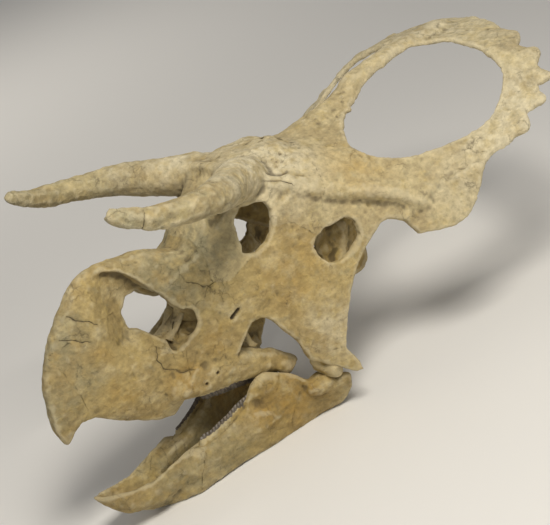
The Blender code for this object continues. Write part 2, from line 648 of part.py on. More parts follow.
# ---------------------------------------------------------------- inner bones
def braincase():
    """Box of the brain under the roof, with the occipital ball and the wings beside it."""
    core = limb("core", [(0.660, 0, 0.590, 0.026, 0.050), (0.710, 0, 0.570, 0.038, 0.078),
                         (0.770, 0, 0.556, 0.048, 0.092), (0.812, 0, 0.540, 0.040, 0.080),
                         (0.836, 0, 0.500, 0.020, 0.034)])
    condyle = ball("condyle", (0.860, 0, 0.482), (0.030, 0.030, 0.030))
    sphenoid = limb("sphenoid", [(0.806, 0, 0.510, 0.026, 0.030), (0.760, 0, 0.470, 0.020, 0.030),
                                 (0.700, 0, 0.500, 0.010, 0.026), (0.640, 0, 0.540, 0.006, 0.020),
                                 (0.590, 0, 0.575, 0.006, 0.018)])
    wing = limb("wing", [(0.800, -0.020, 0.530, 0.018, 0.046), (0.822, -0.090, 0.515, 0.012, 0.040),
                         (0.842, -0.160, 0.490, 0.010, 0.034), (0.850, -0.200, 0.470, 0.009, 0.020)])
    whole = joined("braincase", [core, condyle, sphenoid, wing, mirrored(wing, "wing_right")])
    return simplified(fused(whole, GRAIN, 3), BRAINCASE_TRIANGLES)


def quadrate():
    """Left quadrate: a blade from the squamosal down to the knuckle of the jaw joint."""
    spans = ((0.54, 0.94), (0.10, 0.56))
    blade = sheet("blade", lambda x, z: (x, -0.150 + 0.02 * smoothstep(0.2, 0.5, z), z), spans,
                  (20, 24), 0.015)
    outline = ((0.585, 0.150), (0.605, 0.200), (0.655, 0.270), (0.705, 0.330), (0.738, 0.385),
               (0.746, 0.450), (0.765, 0.510), (0.830, 0.525), (0.872, 0.490), (0.884, 0.400),
               (0.872, 0.340), (0.846, 0.292), (0.790, 0.290), (0.745, 0.250), (0.700, 0.190),
               (0.665, 0.140), (0.625, 0.120))
    blade = within(blade, prism("blade_outline", [outline], "XZ", 0.6))
    shaft = limb("shaft", [(0.622, -0.160, 0.150, 0.020, 0.024), (0.690, -0.156, 0.225, 0.013, 0.018),
                           (0.765, -0.150, 0.320, 0.011, 0.016), (0.820, -0.148, 0.440, 0.012, 0.018)])
    knuckle = limb("knuckle", [(0.618, -0.126, 0.136, 0.020, 0.018), (0.622, -0.152, 0.138, 0.034, 0.024),
                               (0.628, -0.184, 0.134, 0.030, 0.021)])
    whole = joined("quadrate_left", [blade, shaft, knuckle])
    return simplified(fused(whole, FINE_GRAIN, 3), QUADRATE_TRIANGLES)


def pterygoid():
    """Left pterygoid: palate plate ahead, a hooked flange below, and a wing to the quadrate."""
    plate = limb("plate", [(0.412, -0.036, 0.345, 0.024, 0.010), (0.470, -0.044, 0.368, 0.026, 0.008),
                           (0.530, -0.056, 0.385, 0.020, 0.010), (0.620, -0.080, 0.400, 0.010, 0.020),
                           (0.700, -0.108, 0.405, 0.008, 0.030), (0.765, -0.134, 0.410, 0.008, 0.034)])
    hook = limb("hook", [(0.480, -0.060, 0.372, 0.012, 0.012), (0.489, -0.070, 0.325, 0.008, 0.012),
                         (0.493, -0.078, 0.280, 0.006, 0.010), (0.500, -0.080, 0.250, 0.005, 0.009),
                         (0.522, -0.080, 0.248, 0.004, 0.006)])
    whole = joined("pterygoid_left", [plate, hook])
    return simplified(fused(whole, FINE_GRAIN, 3), PTERYGOID_TRIANGLES)


# ---------------------------------------------------------------- lower jaw
def jaw_section(x, low, high, below, above, thickness, sides=16):
    """Ring across one branch of the jaw: a slab leaning from its lower to its upper outer edge."""
    ring = []
    for k in range(sides):
        angle = 2 * math.pi * k / sides
        across = math.copysign(abs(math.cos(angle)) ** 0.6, math.cos(angle))
        up = math.copysign(abs(math.sin(angle)) ** 0.6, math.sin(angle))
        outer = below + (above - below) * (up + 1) / 2
        ring.append((x, -outer + thickness / 2 * (1 - across), (low + high) / 2 + (high - low) / 2 * up))
    return ring


def jaw_branch():
    return loft("branch", [jaw_section(*row) for row in smooth_path_rows(JAW_STATIONS, 3)])


def scoop():
    """Beak of the lower jaw: a keeled scoop with a trough between its rims."""
    rings = []
    for x, keel, rim, half, trough in smooth_path_rows(SCOOP_STATIONS, 3):
        lip = min(0.45 * half, 0.012)
        depth = min(trough, (rim - keel) * 0.72)
        waist = (rim * 0.45 + keel * 0.55)
        right = [(0.0, keel), (half * 0.42, keel + 0.10 * (waist - keel)), (half * 0.98, waist),
                 (half * 1.06, (waist + rim) / 2), (half, rim), (half - lip, rim - 0.12 * depth),
                 ((half - lip) * 0.62, rim - 0.8 * depth), (0.0, rim - depth)]
        rings.append([(x, y, z) for y, z in right] + [(x, -y, z) for y, z in right[-2:0:-1]])
    return loft("scoop", rings)


def lower_jaw():
    shelf = ball("shelf", (0.606, -0.148, 0.094), (0.046, 0.036, 0.026))
    sides = [jaw_branch(), shelf]
    sides += [mirrored(piece, piece.name + "_right") for piece in sides]
    jaw = joined("jaw", [scoop(), *sides])
    return left_half(simplified(fused(jaw, FINE_GRAIN, 2), JAW_TRIANGLES))


# ---------------------------------------------------------------- teeth
def tooth_row(name, line, height, thickness):
    """Row of crowns as one toothed strip; its tips follow the line and point along height's sign."""
    path = smooth_path(line, 12)
    lengths = [0.0]
    for a, b in zip(path, path[1:]):
        lengths.append(lengths[-1] + (b - a).length)
    count = 2 * round(lengths[-1] / TOOTH_PITCH)
    rings = []
    for k in range(count + 1):
        index, t = cell(lengths[-1] * k / count, lengths)
        point = path[index].lerp(path[index + 1], t)
        tip = -0.0005 * height / abs(height) if k % 2 else -0.35 * height
        side = thickness / 2 if k % 2 else thickness * 0.32
        rings.append([(point.x, point.y - side, point.z + tip), (point.x, point.y + side, point.z + tip),
                      (point.x, point.y + side, point.z - height), (point.x, point.y - side, point.z - height)])
    return loft(name, rings)


# ---------------------------------------------------------------- parting along the sutures
def knife(name, line, plane, levels):
    """Thin strip along a line, as thick as a suture, to part the bones with."""
    path = [Vector((a, b, 0)) for a, b in line]
    left, right = [], []
    for i, point in enumerate(path):
        ahead = (path[min(i + 1, len(path) - 1)] - path[max(i - 1, 0)]).normalized()
        side = Vector((-ahead.y, ahead.x, 0)) * SUTURE_GAP / 2
        left.append(point + side)
        right.append(point - side)
    rings = []
    for a, b in zip(left, right):
        low, high = levels
        if plane == "XZ":
            rings.append([(a.x, low, a.y), (b.x, low, b.y), (b.x, high, b.y), (a.x, high, a.y)])
        else:
            rings.append([(a.x, a.y, low), (b.x, b.y, low), (b.x, b.y, high), (a.x, a.y, high)])
    return loft(name, rings)


def side_knives(sutures):
    return [knife(name, line, "XZ", (-0.8, 0.1)) for name, line in sutures.items()]


def top_knives(sutures):
    return [knife(name, line, "XY", (0.46, 0.9)) for name, line in sutures.items()]


def fitted(bone, neighbours):
    """Cuts a bone back to where it meets its neighbours."""
    bone = cut(bone, *[swollen(neighbour) for neighbour in neighbours])
    return largest_body(bone)


# ---------------------------------------------------------------- assembly
def sliced(obj, axis, level, outward):
    """Keeps what lies on the inner side of a level plane, and closes it there with a flat face."""
    normal = Vector([outward if k == axis else 0 for k in range(3)])
    point = Vector([level if k == axis else 0 for k in range(3)])
    bm = bmesh.new()
    bm.from_mesh(obj.data)
    everything = [*bm.verts, *bm.edges, *bm.faces]
    bmesh.ops.bisect_plane(bm, geom=everything, plane_co=point, plane_no=normal, clear_outer=True,
                           dist=0.00002)
    rim = [edge for edge in bm.edges if edge.is_boundary]
    for vert in {vert for edge in rim for vert in edge.verts}:
        vert.co[axis] = level
    if rim:
        bmesh.ops.triangle_fill(bm, edges=rim, normal=normal, use_beauty=True)
    bmesh.ops.recalc_face_normals(bm, faces=bm.faces)
    bm.to_mesh(obj.data)
    bm.free()
    return obj


def left_half(obj):
    return sliced(obj, 1, 0.0, 1)


def skull_bones():
    """Every bone of the upper skull's left half, by name."""
    skull = cut(outer_skull(), *side_knives(SIDE_SUTURES), *top_knives(TOP_SUTURES))
    bones = named_bodies(skull, SKULL_SEEDS)
    outer = list(bones.values())
    bones["braincase"] = fitted(left_half(braincase()), outer)
    bones["quadrate_left"] = fitted(quadrate(), [*outer, bones["braincase"]])
    bones["pterygoid_left"] = fitted(pterygoid(), [*outer, bones["braincase"], bones["quadrate_left"]])
    return bones


def jaw_bones(quadrate_bone):
    bones = named_bodies(cut(lower_jaw(), *side_knives(JAW_SUTURES)), JAW_SEEDS)
    bones["hind_jaw_left"] = fitted(bones["hind_jaw_left"], [quadrate_bone])
    return bones


def with_teeth(bone, row):
    bone = boolean(bone, row, "UNION")
    bpy.data.objects.remove(row)
    return largest_body(bone)


def set_down(obj):
    """Turns a bone into the resting pose and levels what stands on the floor."""
    obj.data.transform(Matrix.Translation((0, 0, REST_DROP)) @ Matrix.Rotation(REST_PITCH, 4, "Y"))
    return sliced(obj, 2, 0.0, -1)


def coloured(bone):
    """Gives a bone a material of its own."""
    shade = BONE_COLOURS[bone.name.replace("_left", "").replace("_right", "")]
    material = bpy.data.materials.new(bone.name + "_bone")
    material.use_nodes = True
    shader = material.node_tree.nodes["Principled BSDF"]
    shader.inputs["Base Color"].default_value = (*shade, 1.0)
    shader.inputs["Roughness"].default_value = BONE_ROUGHNESS
    shader.inputs["Metallic"].default_value = 0.0
    bone.data.materials.clear()
    bone.data.materials.append(material)


def both_sides(bones):
    """Finishes the bones of the left half: a paired bone gets its twin, a midline bone is made whole."""
    finished = []
    for name, bone in bones.items():
        if name.endswith("_left"):
            bone = set_down(largest_body(sliced(bone, 1, -SUTURE_GAP / 2, 1)))
            finished += [bone, mirrored(bone, name.replace("_left", "_right"))]
        else:
            finished.append(set_down(mirrored_whole(bone)))
    return finished


def main():
    clear_scene()
    collection(WORKSHOP)
    bones = skull_bones()
    bones |= jaw_bones(bones["quadrate_left"])
    lower = tooth_row("lower_teeth", LOWER_TEETH, TOOTH_HEIGHT, TOOTH_THICKNESS)
    upper = tooth_row("upper_teeth", UPPER_TEETH, -TOOTH_HEIGHT, TOOTH_THICKNESS)
    bones["dentary_left"] = with_teeth(bones["dentary_left"], lower)
    bones["maxilla_left"] = with_teeth(bones["maxilla_left"], upper)
    finished = both_sides(bones)
    corners = [vert.co.x for bone in finished for vert in bone.data.vertices]
    middle = (min(corners) + max(corners)) / 2
    skull = collection("horned_dinosaur_skull")
    for bone in finished:
        bone.data.transform(Matrix.Translation((-middle, 0, 0)))
        coloured(bone)
        bpy.data.collections[WORKSHOP].objects.unlink(bone)
        skull.objects.link(bone)


main()
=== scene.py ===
# %% [markdown]
# # A horned dinosaur's skull, from measured bones to a dressed fossil
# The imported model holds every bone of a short-snouted horned dinosaur at its true size,
# in a few flat facets. This notebook turns those facets into weathered fossil bone.
# It could be done with one fine material on the facets, but a skull shows its age in its
# shape as much as in its colour. So the bones are first melted into one smooth skin, that
# skin is carved, and it is then parted into the same bones again.

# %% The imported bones
import heapq
import itertools
import json
import math

import bmesh
import bpy
import numpy as np
from mathutils import Matrix, Vector
from mathutils.bvhtree import BVHTree


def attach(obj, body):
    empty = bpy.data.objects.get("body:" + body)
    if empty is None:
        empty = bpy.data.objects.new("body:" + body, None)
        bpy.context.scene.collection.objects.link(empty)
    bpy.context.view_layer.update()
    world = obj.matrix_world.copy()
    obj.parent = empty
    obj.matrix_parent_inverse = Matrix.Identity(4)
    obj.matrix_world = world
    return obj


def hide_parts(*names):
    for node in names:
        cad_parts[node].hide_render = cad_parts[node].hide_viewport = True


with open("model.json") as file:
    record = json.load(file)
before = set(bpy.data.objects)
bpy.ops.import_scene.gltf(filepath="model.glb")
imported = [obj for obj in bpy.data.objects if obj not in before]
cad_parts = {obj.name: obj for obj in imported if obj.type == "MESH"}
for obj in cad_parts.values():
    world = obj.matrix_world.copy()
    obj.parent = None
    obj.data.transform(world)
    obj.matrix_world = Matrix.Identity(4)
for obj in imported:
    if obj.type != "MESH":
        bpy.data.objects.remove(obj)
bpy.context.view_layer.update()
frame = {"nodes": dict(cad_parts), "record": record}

# %% [markdown]
# ## Two ways to give a place
# The skull rests on its lower jaw with the nose tipped up a little. Places on the skull are
# easier to give as a preparator does: back from the tip of the lower beak, to the right of
# the midline, and up, with the jaw level. One matrix seats such a place on the floor. Every
# landmark below is given that way, and the same matrix run backwards tells where on the
# skull a vertex lies.

# %% Seating the skull
NOSE_UP = math.radians(3.43)
SEAT = Matrix.Translation((-0.78381, 0.0, 0.0296)) @ Matrix.Rotation(NOSE_UP, 4, "Y")
TURN = np.array(SEAT.to_3x3())


def on_skull(points):
    """Places measured along the skull, for points of the seated model."""
    return (points - np.array(SEAT.translation)) @ TURN


tip = SEAT @ Vector((0, 0, 0.16))
print(f"the lower beak ends at {tip.x:.3f}, {tip.z:.3f} m")

# %% [markdown]
# ## One skin over many bones
# In the ground the bones of a grown animal are fused, so light runs over them without a
# step. Rounding each bone by itself would leave a furrow round every one. Here copies of
# the bones are put in one mesh, and a voxel Remesh wraps them in even little squares. The
# squares are wider than the cuts between the bones, so those close.

# %% Wrapping the bones
OUTER = ["rostral", "premaxilla", "nasal", "parietal"] + [
    f"{bone}_{side}"
    for bone in ("maxilla", "brow", "jugal", "epijugal", "squamosal")
    for side in ("left", "right")
]
JAW = ["predentary", "dentary_left", "dentary_right", "hind_jaw_left", "hind_jaw_right"]


def placed(name, data):
    """A new object, linked to the scene."""
    made = bpy.data.objects.new(name, data)
    bpy.context.scene.collection.objects.link(made)
    return made


def built(name, bm):
    """A new object made of a bmesh, which is freed."""
    mesh = bpy.data.meshes.new(name)
    bm.to_mesh(mesh)
    bm.free()
    return placed(name, mesh)


def wrapped(name, bones, grain):
    """A mesh of even squares, each a grain wide, around copies of the bones."""
    bm = bmesh.new()
    for bone in bones:
        bm.from_mesh(frame["nodes"][bone].data)
    bmesh.ops.remove_doubles(bm, verts=bm.verts, dist=1e-6)
    copy = built(name, bm)
    remesh = copy.modifiers.new("wrap", "REMESH")
    remesh.mode = "VOXEL"
    remesh.voxel_size = grain
    ready = copy.evaluated_get(bpy.context.evaluated_depsgraph_get())
    skin = bpy.data.meshes.new_from_object(ready)
    bpy.data.objects.remove(copy)
    return skin


outer_skin = wrapped("outer_skin", OUTER, grain=0.0036)
jaw_skin = wrapped("jaw_skin", JAW, grain=0.0030)
print(f"the outer skull has {len(outer_skin.polygons)} squares, the jaw {len(jaw_skin.polygons)}")

# %% [markdown]
# ## Relaxing the facets
# The skin still shows the flat facets. Plain smoothing would round them, and would also
# shrink thin rims and horn tips. The cure is to take two steps each round: one towards the
# mean of a vertex's neighbours, and one slightly longer step back out. Short bumps fade and
# the bulk stays. With whole arrays of numbers it takes only seconds.

# %% Even, and keep the bulk


def rows(sequence, key, width, kind=np.float32):
    """One row of numbers for each vertex, edge or face of a mesh."""
    values = np.empty(len(sequence) * width, kind)
    sequence.foreach_get(key, values)
    return values.reshape(-1, width)


def neighbour_mean(values, edges):
    """For each vertex, the mean of its neighbours' values."""
    ends = np.concatenate([edges[:, 0], edges[:, 1]])
    others = np.concatenate([edges[:, 1], edges[:, 0]])
    count = np.maximum(np.bincount(ends, minlength=len(values)), 1)
    sums = [np.bincount(ends, column[others], len(values)) for column in values.T]
    return np.stack(sums, 1) / count[:, None]


def relaxed(points, edges, rounds, step_in=0.60, step_out=0.62):
    """Points with short bumps evened out and the bulk kept."""
    for _ in range(rounds):
        points = points + step_in * (neighbour_mean(points, edges) - points)
        points = points - step_out * (neighbour_mean(points, edges) - points)
    return points


print("meshes can be relaxed")

# %% [markdown]
# ## A skin that knows itself
# Every later step asks where the vertices are, who their neighbours are and which way they
# face. Blender tells it slowly, vertex by vertex. So each skin keeps it all as arrays, and
# writes the mesh anew whenever it moves.

# %% Two skins


class Skin:
    """A wrapped mesh as arrays: places, edges, squares, and which way each vertex faces."""

    def __init__(self, mesh, rounds):
        self.mesh = mesh
        self.edges = rows(mesh.edges, "vertices", 2, np.int32)
        self.squares = rows(mesh.loops, "vertex_index", 1, np.int32).reshape(-1, 4)
        self.move(relaxed(rows(mesh.vertices, "co", 3).astype(float), self.edges, rounds))

    def move(self, points):
        """Puts the vertices at new places, none under the floor, and reads the new normals."""
        points[:, 2] = np.maximum(points[:, 2], 0.0)
        self.points = points
        self.mesh.vertices.foreach_set("co", points.astype(np.float32).ravel())
        self.mesh.update()
        self.normals = rows(self.mesh.vertices, "normal", 3).astype(float)
        self.places = on_skull(points)

    def raise_by(self, height):
        """Lifts each vertex along its normal."""
        self.move(self.points + self.normals * height[:, None])


outer = Skin(outer_skin, rounds=26)
jaw = Skin(jaw_skin, rounds=18)
print(f"{len(outer.points) + len(jaw.points)} vertices relaxed")

# %% [markdown]
# ## No stray patches
# Each square will be given to a bone. Where a wall is thin, a patch may be cut off from the
# rest of its bone, and would later be a loose flake. Such patches are found by numbers: each
# square takes the lowest number that it can reach without leaving its bone.

# %% Joining stray patches


def join_islands(squares, owner):
    """Gives every stray patch of a bone to the bone that borders it most."""
    edges = np.sort(np.stack([squares, np.roll(squares, -1, 1)], 2).reshape(-1, 2), 1)
    order = np.lexsort(edges.T)
    shared = (np.diff(edges[order], axis=0) == 0).all(1)
    one, other = order[:-1][shared] // 4, order[1:][shared] // 4
    inside = owner[one] == owner[other]
    a, b = one[inside], other[inside]
    group, before = np.arange(len(owner)), None
    while before is None or (group != before).any():
        before = group.copy()
        low = np.minimum(group[a], group[b])
        for ends in (a, b, before[a], before[b]):
            np.minimum.at(group, ends, low)
        group = group[group]
    size = np.bincount(group)
    for patch in np.unique(group):
        mine = group == patch
        if size[patch] < size[group[owner == owner[patch]]].max():
            ahead, behind = mine[one] & ~mine[other], mine[other] & ~mine[one]
            border = np.concatenate([owner[other[ahead]], owner[one[behind]]])
            owner[mine] = np.bincount(border).argmax()
    return owner


print("stray patches can be joined")

# %% [markdown]
# ## Which bone is each square part of?
# The carved skin must come apart into the real bones again, and the joints between them are
# worth carving too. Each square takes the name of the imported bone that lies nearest. Sharing
# those votes with the neighbours a few times makes the borders run smoothly, and where two
# bones score nearly the same there is a suture.

# %% Naming the squares


def nearest_bone(points, bones):
    """Number, in the list of bones, of the bone nearest to each point."""
    corners, triangles, owners = [], [], []
    for number, bone in enumerate(bones):
        mesh = frame["nodes"][bone].data
        first = len(corners)
        corners.extend(vertex.co for vertex in mesh.vertices)
        triangles.extend([first + i for i in face.vertices] for face in mesh.polygons)
        owners.extend([number] * len(mesh.polygons))
    tree = BVHTree.FromPolygons(corners, triangles)
    return np.array([owners[tree.find_nearest(point)[2]] for point in points.tolist()])


def name_squares(skin, bones, rounds=4):
    """Gives the skin its bone number per square and a suture mask per vertex."""
    first = nearest_bone(skin.points[skin.squares].mean(1), bones)
    votes = np.eye(len(bones), dtype=np.float32)[first]
    corners = skin.squares.ravel()
    touching = np.bincount(corners, minlength=len(skin.points))[:, None]
    for _ in range(rounds):
        sums = [np.bincount(corners, np.repeat(v, 4), len(skin.points)) for v in votes.T]
        shared = np.stack(sums, 1) / touching
        votes = shared[skin.squares].mean(1)
    skin.bones = bones
    skin.owner = join_islands(skin.squares, votes.argmax(1))
    best = np.sort(shared, 1)
    skin.suture = np.clip(1 - (best[:, -1] - best[:, -2]) / 0.6, 0, 1)


name_squares(outer, OUTER)
name_squares(jaw, JAW)
print({bone: int((outer.owner == i).sum()) for i, bone in enumerate(OUTER)})

# %% [markdown]
# ## Hills, and the distance from a line
# Two small tools do all the carving. The first gives smooth random hills of a chosen width,
# always the same for the same place, so a hill runs on from one bone to the next. The second
# tells how far each vertex is from a line drawn on the skull, and how far along it.

# %% The two carving tools


def hills(places, width, seed=0):
    """Smooth random heights from -1 to 1, with tops about a width apart."""
    turn = np.array(Matrix.Rotation(0.7 + seed, 3, (0.5, 0.7, 0.3)))
    grid = places @ turn / width + 7.31 * seed
    cell = np.floor(grid).astype(np.int64)
    part = grid - cell
    part = part * part * (3 - 2 * part)
    total = np.zeros(len(places))
    for corner in itertools.product((0, 1), repeat=3):
        mixed = (cell + corner) @ np.array((73856093, 19349663, 83492791))
        mixed = (mixed ^ (mixed >> 13)) * 1274126177
        height = ((mixed ^ (mixed >> 16)) & 0xFFFF) / 32767.5 - 1
        total += height * np.where(corner, part, 1 - part).prod(1)
    return total


def along(places, path):
    """Distance of each place from a point or a line of straight runs, and the length along it."""
    nearest = np.full(len(places), 9.0)
    length = np.zeros(len(places))
    before = 0.0
    for start, end in zip(path, path[1:] or path):
        start, run = np.array(start), np.array(end) - np.array(start)
        share = np.clip((places - start) @ run / (run @ run + 1e-12), 0, 1)
        far = np.linalg.norm(places - start - share[:, None] * run, axis=1)
        closer = far < nearest
        nearest[closer] = far[closer]
        length[closer] = before + share[closer] * np.linalg.norm(run)
        before += np.linalg.norm(run)
    return nearest, length


def within(distance, core, edge):
    """1 inside the core, falling smoothly to 0 at the edge."""
    share = np.clip((edge - distance) / (edge - core), 0, 1)
    return share * share * (3 - 2 * share)


print("hills and lines are ready")

# %% [markdown]
# ## Sculpting with brushes
# Forms smaller than a finger aren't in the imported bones. A sculptor would pull them out with
# a Grab brush, swell or dent them with Inflate and even them with Smooth. The same three
# strokes are made here by numbers: each acts near a path on the skull, fully within one
# distance and not at all beyond another. Given for the left side, a stroke is made on both.
# One that crosses the midline is made only once, or it would count double there.

# %% The brush
ONCE = (1,)
RIGHT_ONLY = (-1,)


def brush(skin, path, core, edge, pull=(0, 0, 0), swell=0.0, smooth=0, sides=(1, -1)):
    """Pulls, swells and then smooths the skin near a path, on the left (1) and right (-1)."""
    for side in sides:
        flip = np.array((1, side, 1))
        far, _ = along(skin.places, [flip * point for point in np.array(path)])
        share = within(far, core, edge)[:, None]
        points = skin.points + share * ((flip * pull) @ TURN.T + swell * skin.normals)
        for _ in range(smooth):
            points = points + 0.6 * share * (neighbour_mean(points, skin.edges) - points)
        skin.move(points)


print("the brush can pull, swell and smooth")

# %% [markdown]
# ## Frill and roof
# Five scallops on each side give the frill its wavy rim, and a low crest runs along its
# midline. Between the horns the roof rises in one broad hump, so the valley there is filled
# and smoothed. Each stroke works on what the one before it left, so their order matters.

# %% Pulling out the scallops and the crest
SCALLOPS = [
    ((1.464, -0.244, 0.669), 0.008, 0.030, (0.005, 0.000, 0.003)),
    ((1.408, -0.344, 0.630), 0.014, 0.040, (0.013, 0.000, 0.008)),
    ((1.366, -0.398, 0.594), 0.004, 0.028, (0.009, -0.012, 0.002)),
    ((1.303, -0.420, 0.560), 0.006, 0.032, (0.006, -0.017, 0.000)),
    ((1.229, -0.416, 0.532), 0.014, 0.048, (-0.003, -0.024, -0.006)),
]
MIDLINE_CREST = [(1.10, 0, 0.692), (1.2, 0, 0.704), (1.42, 0, 0.71)]
BETWEEN_HORNS = [(0.575, 0.04, 0.665), (0.58, -0.04, 0.665)]
BESIDE_HORN = [(0.590, -0.060, 0.685)]
FOREHEAD = [(0.735, 0.045, 0.671), (0.690, 0.035, 0.677), (0.690, -0.035, 0.677), (0.735, -0.045, 0.671)]
FRILL_KNOB = [(0.795, -0.005, 0.667)]
FRILL_TOP = [(1.480, -0.060, 0.697), (1.440, 0, 0.705), (1.480, 0.060, 0.697)]
HORN_ROOTS = [(0.600, -0.075, 0.684), (0.606, 0, 0.674), (0.600, 0.075, 0.684)]
HORN_SIDE = [
    (0.600, -0.120, 0.670), (0.540, -0.165, 0.690), (0.476, -0.228, 0.700), (0.376, -0.270, 0.715),
]

for tip, core, edge, pull in SCALLOPS:
    brush(outer, [tip], core, edge, pull)
brush(outer, MIDLINE_CREST, 0.014, 0.060, (0, 0, 0.015), sides=ONCE)
brush(outer, BETWEEN_HORNS, 0.018, 0.060, (-0.004, 0, 0.017), smooth=24, sides=ONCE)
brush(outer, BESIDE_HORN, 0.025, 0.060, smooth=18)
brush(outer, FOREHEAD, 0.030, 0.080, (0, 0, 0.012), sides=ONCE)
brush(outer, FRILL_KNOB, 0.008, 0.026, (0, 0, 0.007), sides=ONCE)
brush(outer, FRILL_TOP, 0.020, 0.080, (0.003, 0, 0.005), smooth=6, sides=ONCE)
brush(outer, HORN_ROOTS, 0.022, 0.055, swell=0.003, smooth=40, sides=ONCE)
brush(outer, HORN_SIDE, 0.045, 0.065, smooth=12)
# two nicks in the front rim of the frill window
brush(outer, [(0.985, -0.058, 0.648)], 0.003, 0.013, (-0.010, 0, -0.002))
brush(outer, [(1.015, -0.050, 0.650)], 0.003, 0.012, (0.006, -0.006, -0.004))
print(f"{len(SCALLOPS)} scallops pulled out on each side")

# %% [markdown]
# ## Snout
# The nostril opens inside a wide shallow hollow, which fades into the beak in front. The
# facets of its slopes are smoothed away, and so is the narrow rim of the beak. A thin strut
# stands in the nostril, whose right wall lies further back than its left. A low ridge with a
# crease under it runs down to the mouth.

# %% Smoothing the nostril's hollow
HOLLOW_EDGE = [
    (0.192, -0.025, 0.583), (0.175, -0.033, 0.555), (0.159, -0.041, 0.525), (0.160, -0.043, 0.486),
    (0.153, -0.047, 0.450), (0.167, -0.048, 0.407), (0.192, -0.055, 0.377), (0.234, -0.064, 0.365),
]
HOLLOW_FLOOR = [(0.216, -0.018, 0.440), (0.220, -0.028, 0.405)]
RIGHT_WALL = [(0.385, -0.070, 0.440), (0.395, -0.090, 0.385), (0.410, -0.100, 0.345)]
BEAK_RIM = [(-0.008, 0, 0.402), (0.015, 0, 0.455), (0.049, 0, 0.502), (0.087, 0, 0.542)]
STRUT = [(0.374, -0.011, 0.403), (0.348, -0.008, 0.380), (0.325, -0.010, 0.362)]
MAXILLA_STEP = [(0.259, -0.063, 0.279), (0.256, -0.061, 0.261), (0.256, -0.063, 0.245)]
MAXILLA_END = [(0.575, -0.090, 0.175)]
SNOUT_RIDGE = [
    (0.361, -0.090, 0.316), (0.342, -0.083, 0.287), (0.315, -0.084, 0.265), (0.288, -0.076, 0.240),
]
SNOUT_CREASE = [
    (0.365, -0.090, 0.300), (0.351, -0.088, 0.277), (0.318, -0.089, 0.252), (0.298, -0.075, 0.227),
]

brush(outer, MAXILLA_END, 0.018, 0.052, (0.004, 0, -0.020), swell=0.005)
brush(outer, RIGHT_WALL, 0.020, 0.060, (0.034, 0, 0), sides=RIGHT_ONLY)
brush(outer, HOLLOW_EDGE, 0.016, 0.040, smooth=40)
brush(outer, HOLLOW_FLOOR, 0.012, 0.030, smooth=22)
brush(outer, BEAK_RIM, 0.022, 0.045, smooth=24, sides=ONCE)
brush(outer, STRUT, 0.004, 0.018, (-0.004, -0.028, 0))
brush(outer, MAXILLA_STEP, 0.012, 0.030, smooth=25)
brush(outer, SNOUT_RIDGE, 0.002, 0.016, swell=0.0030)
brush(outer, SNOUT_CREASE, 0.004, 0.018, swell=-0.0010, smooth=5)
print("the nostril's hollow is smooth")

# %% [markdown]
# ## Cheek
# A broad ridge runs back from the eye over the squamosal. It is a crest with a shallow
# groove under it, so the groove is dented first and the crest swelled after. The rims of the
# eye socket and of the window behind the cheek are drawn to their oval outlines.

# %% Raising the cheek ridge
RIDGE = [
    (0.703, -0.166, 0.598), (0.743, -0.184, 0.573), (0.805, -0.212, 0.535),
    (0.883, -0.258, 0.498), (0.918, -0.284, 0.478), (0.947, -0.311, 0.451),
]
UNDER_RIDGE = [
    (0.751, -0.203, 0.560), (0.802, -0.225, 0.529), (0.853, -0.248, 0.495), (0.904, -0.286, 0.456),
]
WINDOW_RIM = [(0.722, -0.200, 0.470), (0.752, -0.205, 0.488)]
SOCKET_FRONT = [(0.527, -0.120, 0.535)]
SOCKET_TOP = [(0.600, -0.140, 0.610)]

brush(outer, WINDOW_RIM, 0.012, 0.045, (0.005, 0, -0.008))
brush(outer, SOCKET_FRONT, 0.012, 0.045, (0.011, -0.002, -0.006))
brush(outer, SOCKET_TOP, 0.010, 0.035, (-0.002, 0.002, -0.007))
brush(outer, UNDER_RIDGE, 0.006, 0.030, swell=-0.005, smooth=14)
brush(outer, RIDGE, 0.006, 0.034, swell=0.009, smooth=7)
print(f"a ridge {1000 * along(np.array([RIDGE[-1]]), RIDGE)[1][0]:.0f} mm long on each cheek")

# %% [markdown]
# ## Lower jaw
# The dentary is a thick bar, rounder than its facets. The same brush swells it, the lower
# beak and the coronoid, and sinks a dent below the coronoid and a valley behind it.

# %% Rounding the jaw
CORONOID = [(0.478, -0.117, 0.162)]
BAR = [(0.256, -0.066, 0.060), (0.330, -0.078, 0.065), (0.401, -0.096, 0.074), (0.450, -0.112, 0.080)]
LOWER_BEAK = [(0.070, -0.020, 0.050), (0.150, -0.040, 0.045), (0.210, -0.058, 0.055)]
DENT = [(0.436, -0.111, 0.126), (0.460, -0.115, 0.109), (0.477, -0.119, 0.091)]
VALLEY = [(0.525, -0.128, 0.155), (0.545, -0.135, 0.120), (0.553, -0.137, 0.100)]

brush(jaw, CORONOID, 0.014, 0.036, swell=0.006)
brush(jaw, BAR, 0.010, 0.056, swell=0.013)
brush(jaw, LOWER_BEAK, 0.006, 0.040, swell=0.009)
brush(jaw, DENT, 0.003, 0.026, swell=-0.009, smooth=4)
brush(jaw, VALLEY, 0.004, 0.022, swell=-0.004)
print("the jaw is rounded")

# %% [markdown]
# ## The horns
# A horn core carried a horny sheath fed by blood vessels, which leave lengthwise grooves.
# They could be painted, but grooves catch the light, so the hills are stretched along the
# horn: the length along it is shrunk before the hills are asked for their height. Rings of
# cracks cross the horn where the fossil broke and was mended, and the tip is worn.

# %% Horn grain
HORN = [(0.620, -0.106, 0.653), (0.553, -0.152, 0.667), (0.476, -0.228, 0.691), (0.376, -0.270, 0.711),
        (0.270, -0.268, 0.739), (0.205, -0.247, 0.774), (0.188, -0.241, 0.786)]


def mirrored(path):
    """The same line on the other side of the skull."""
    return [(x, -y, z) for x, y, z in path]


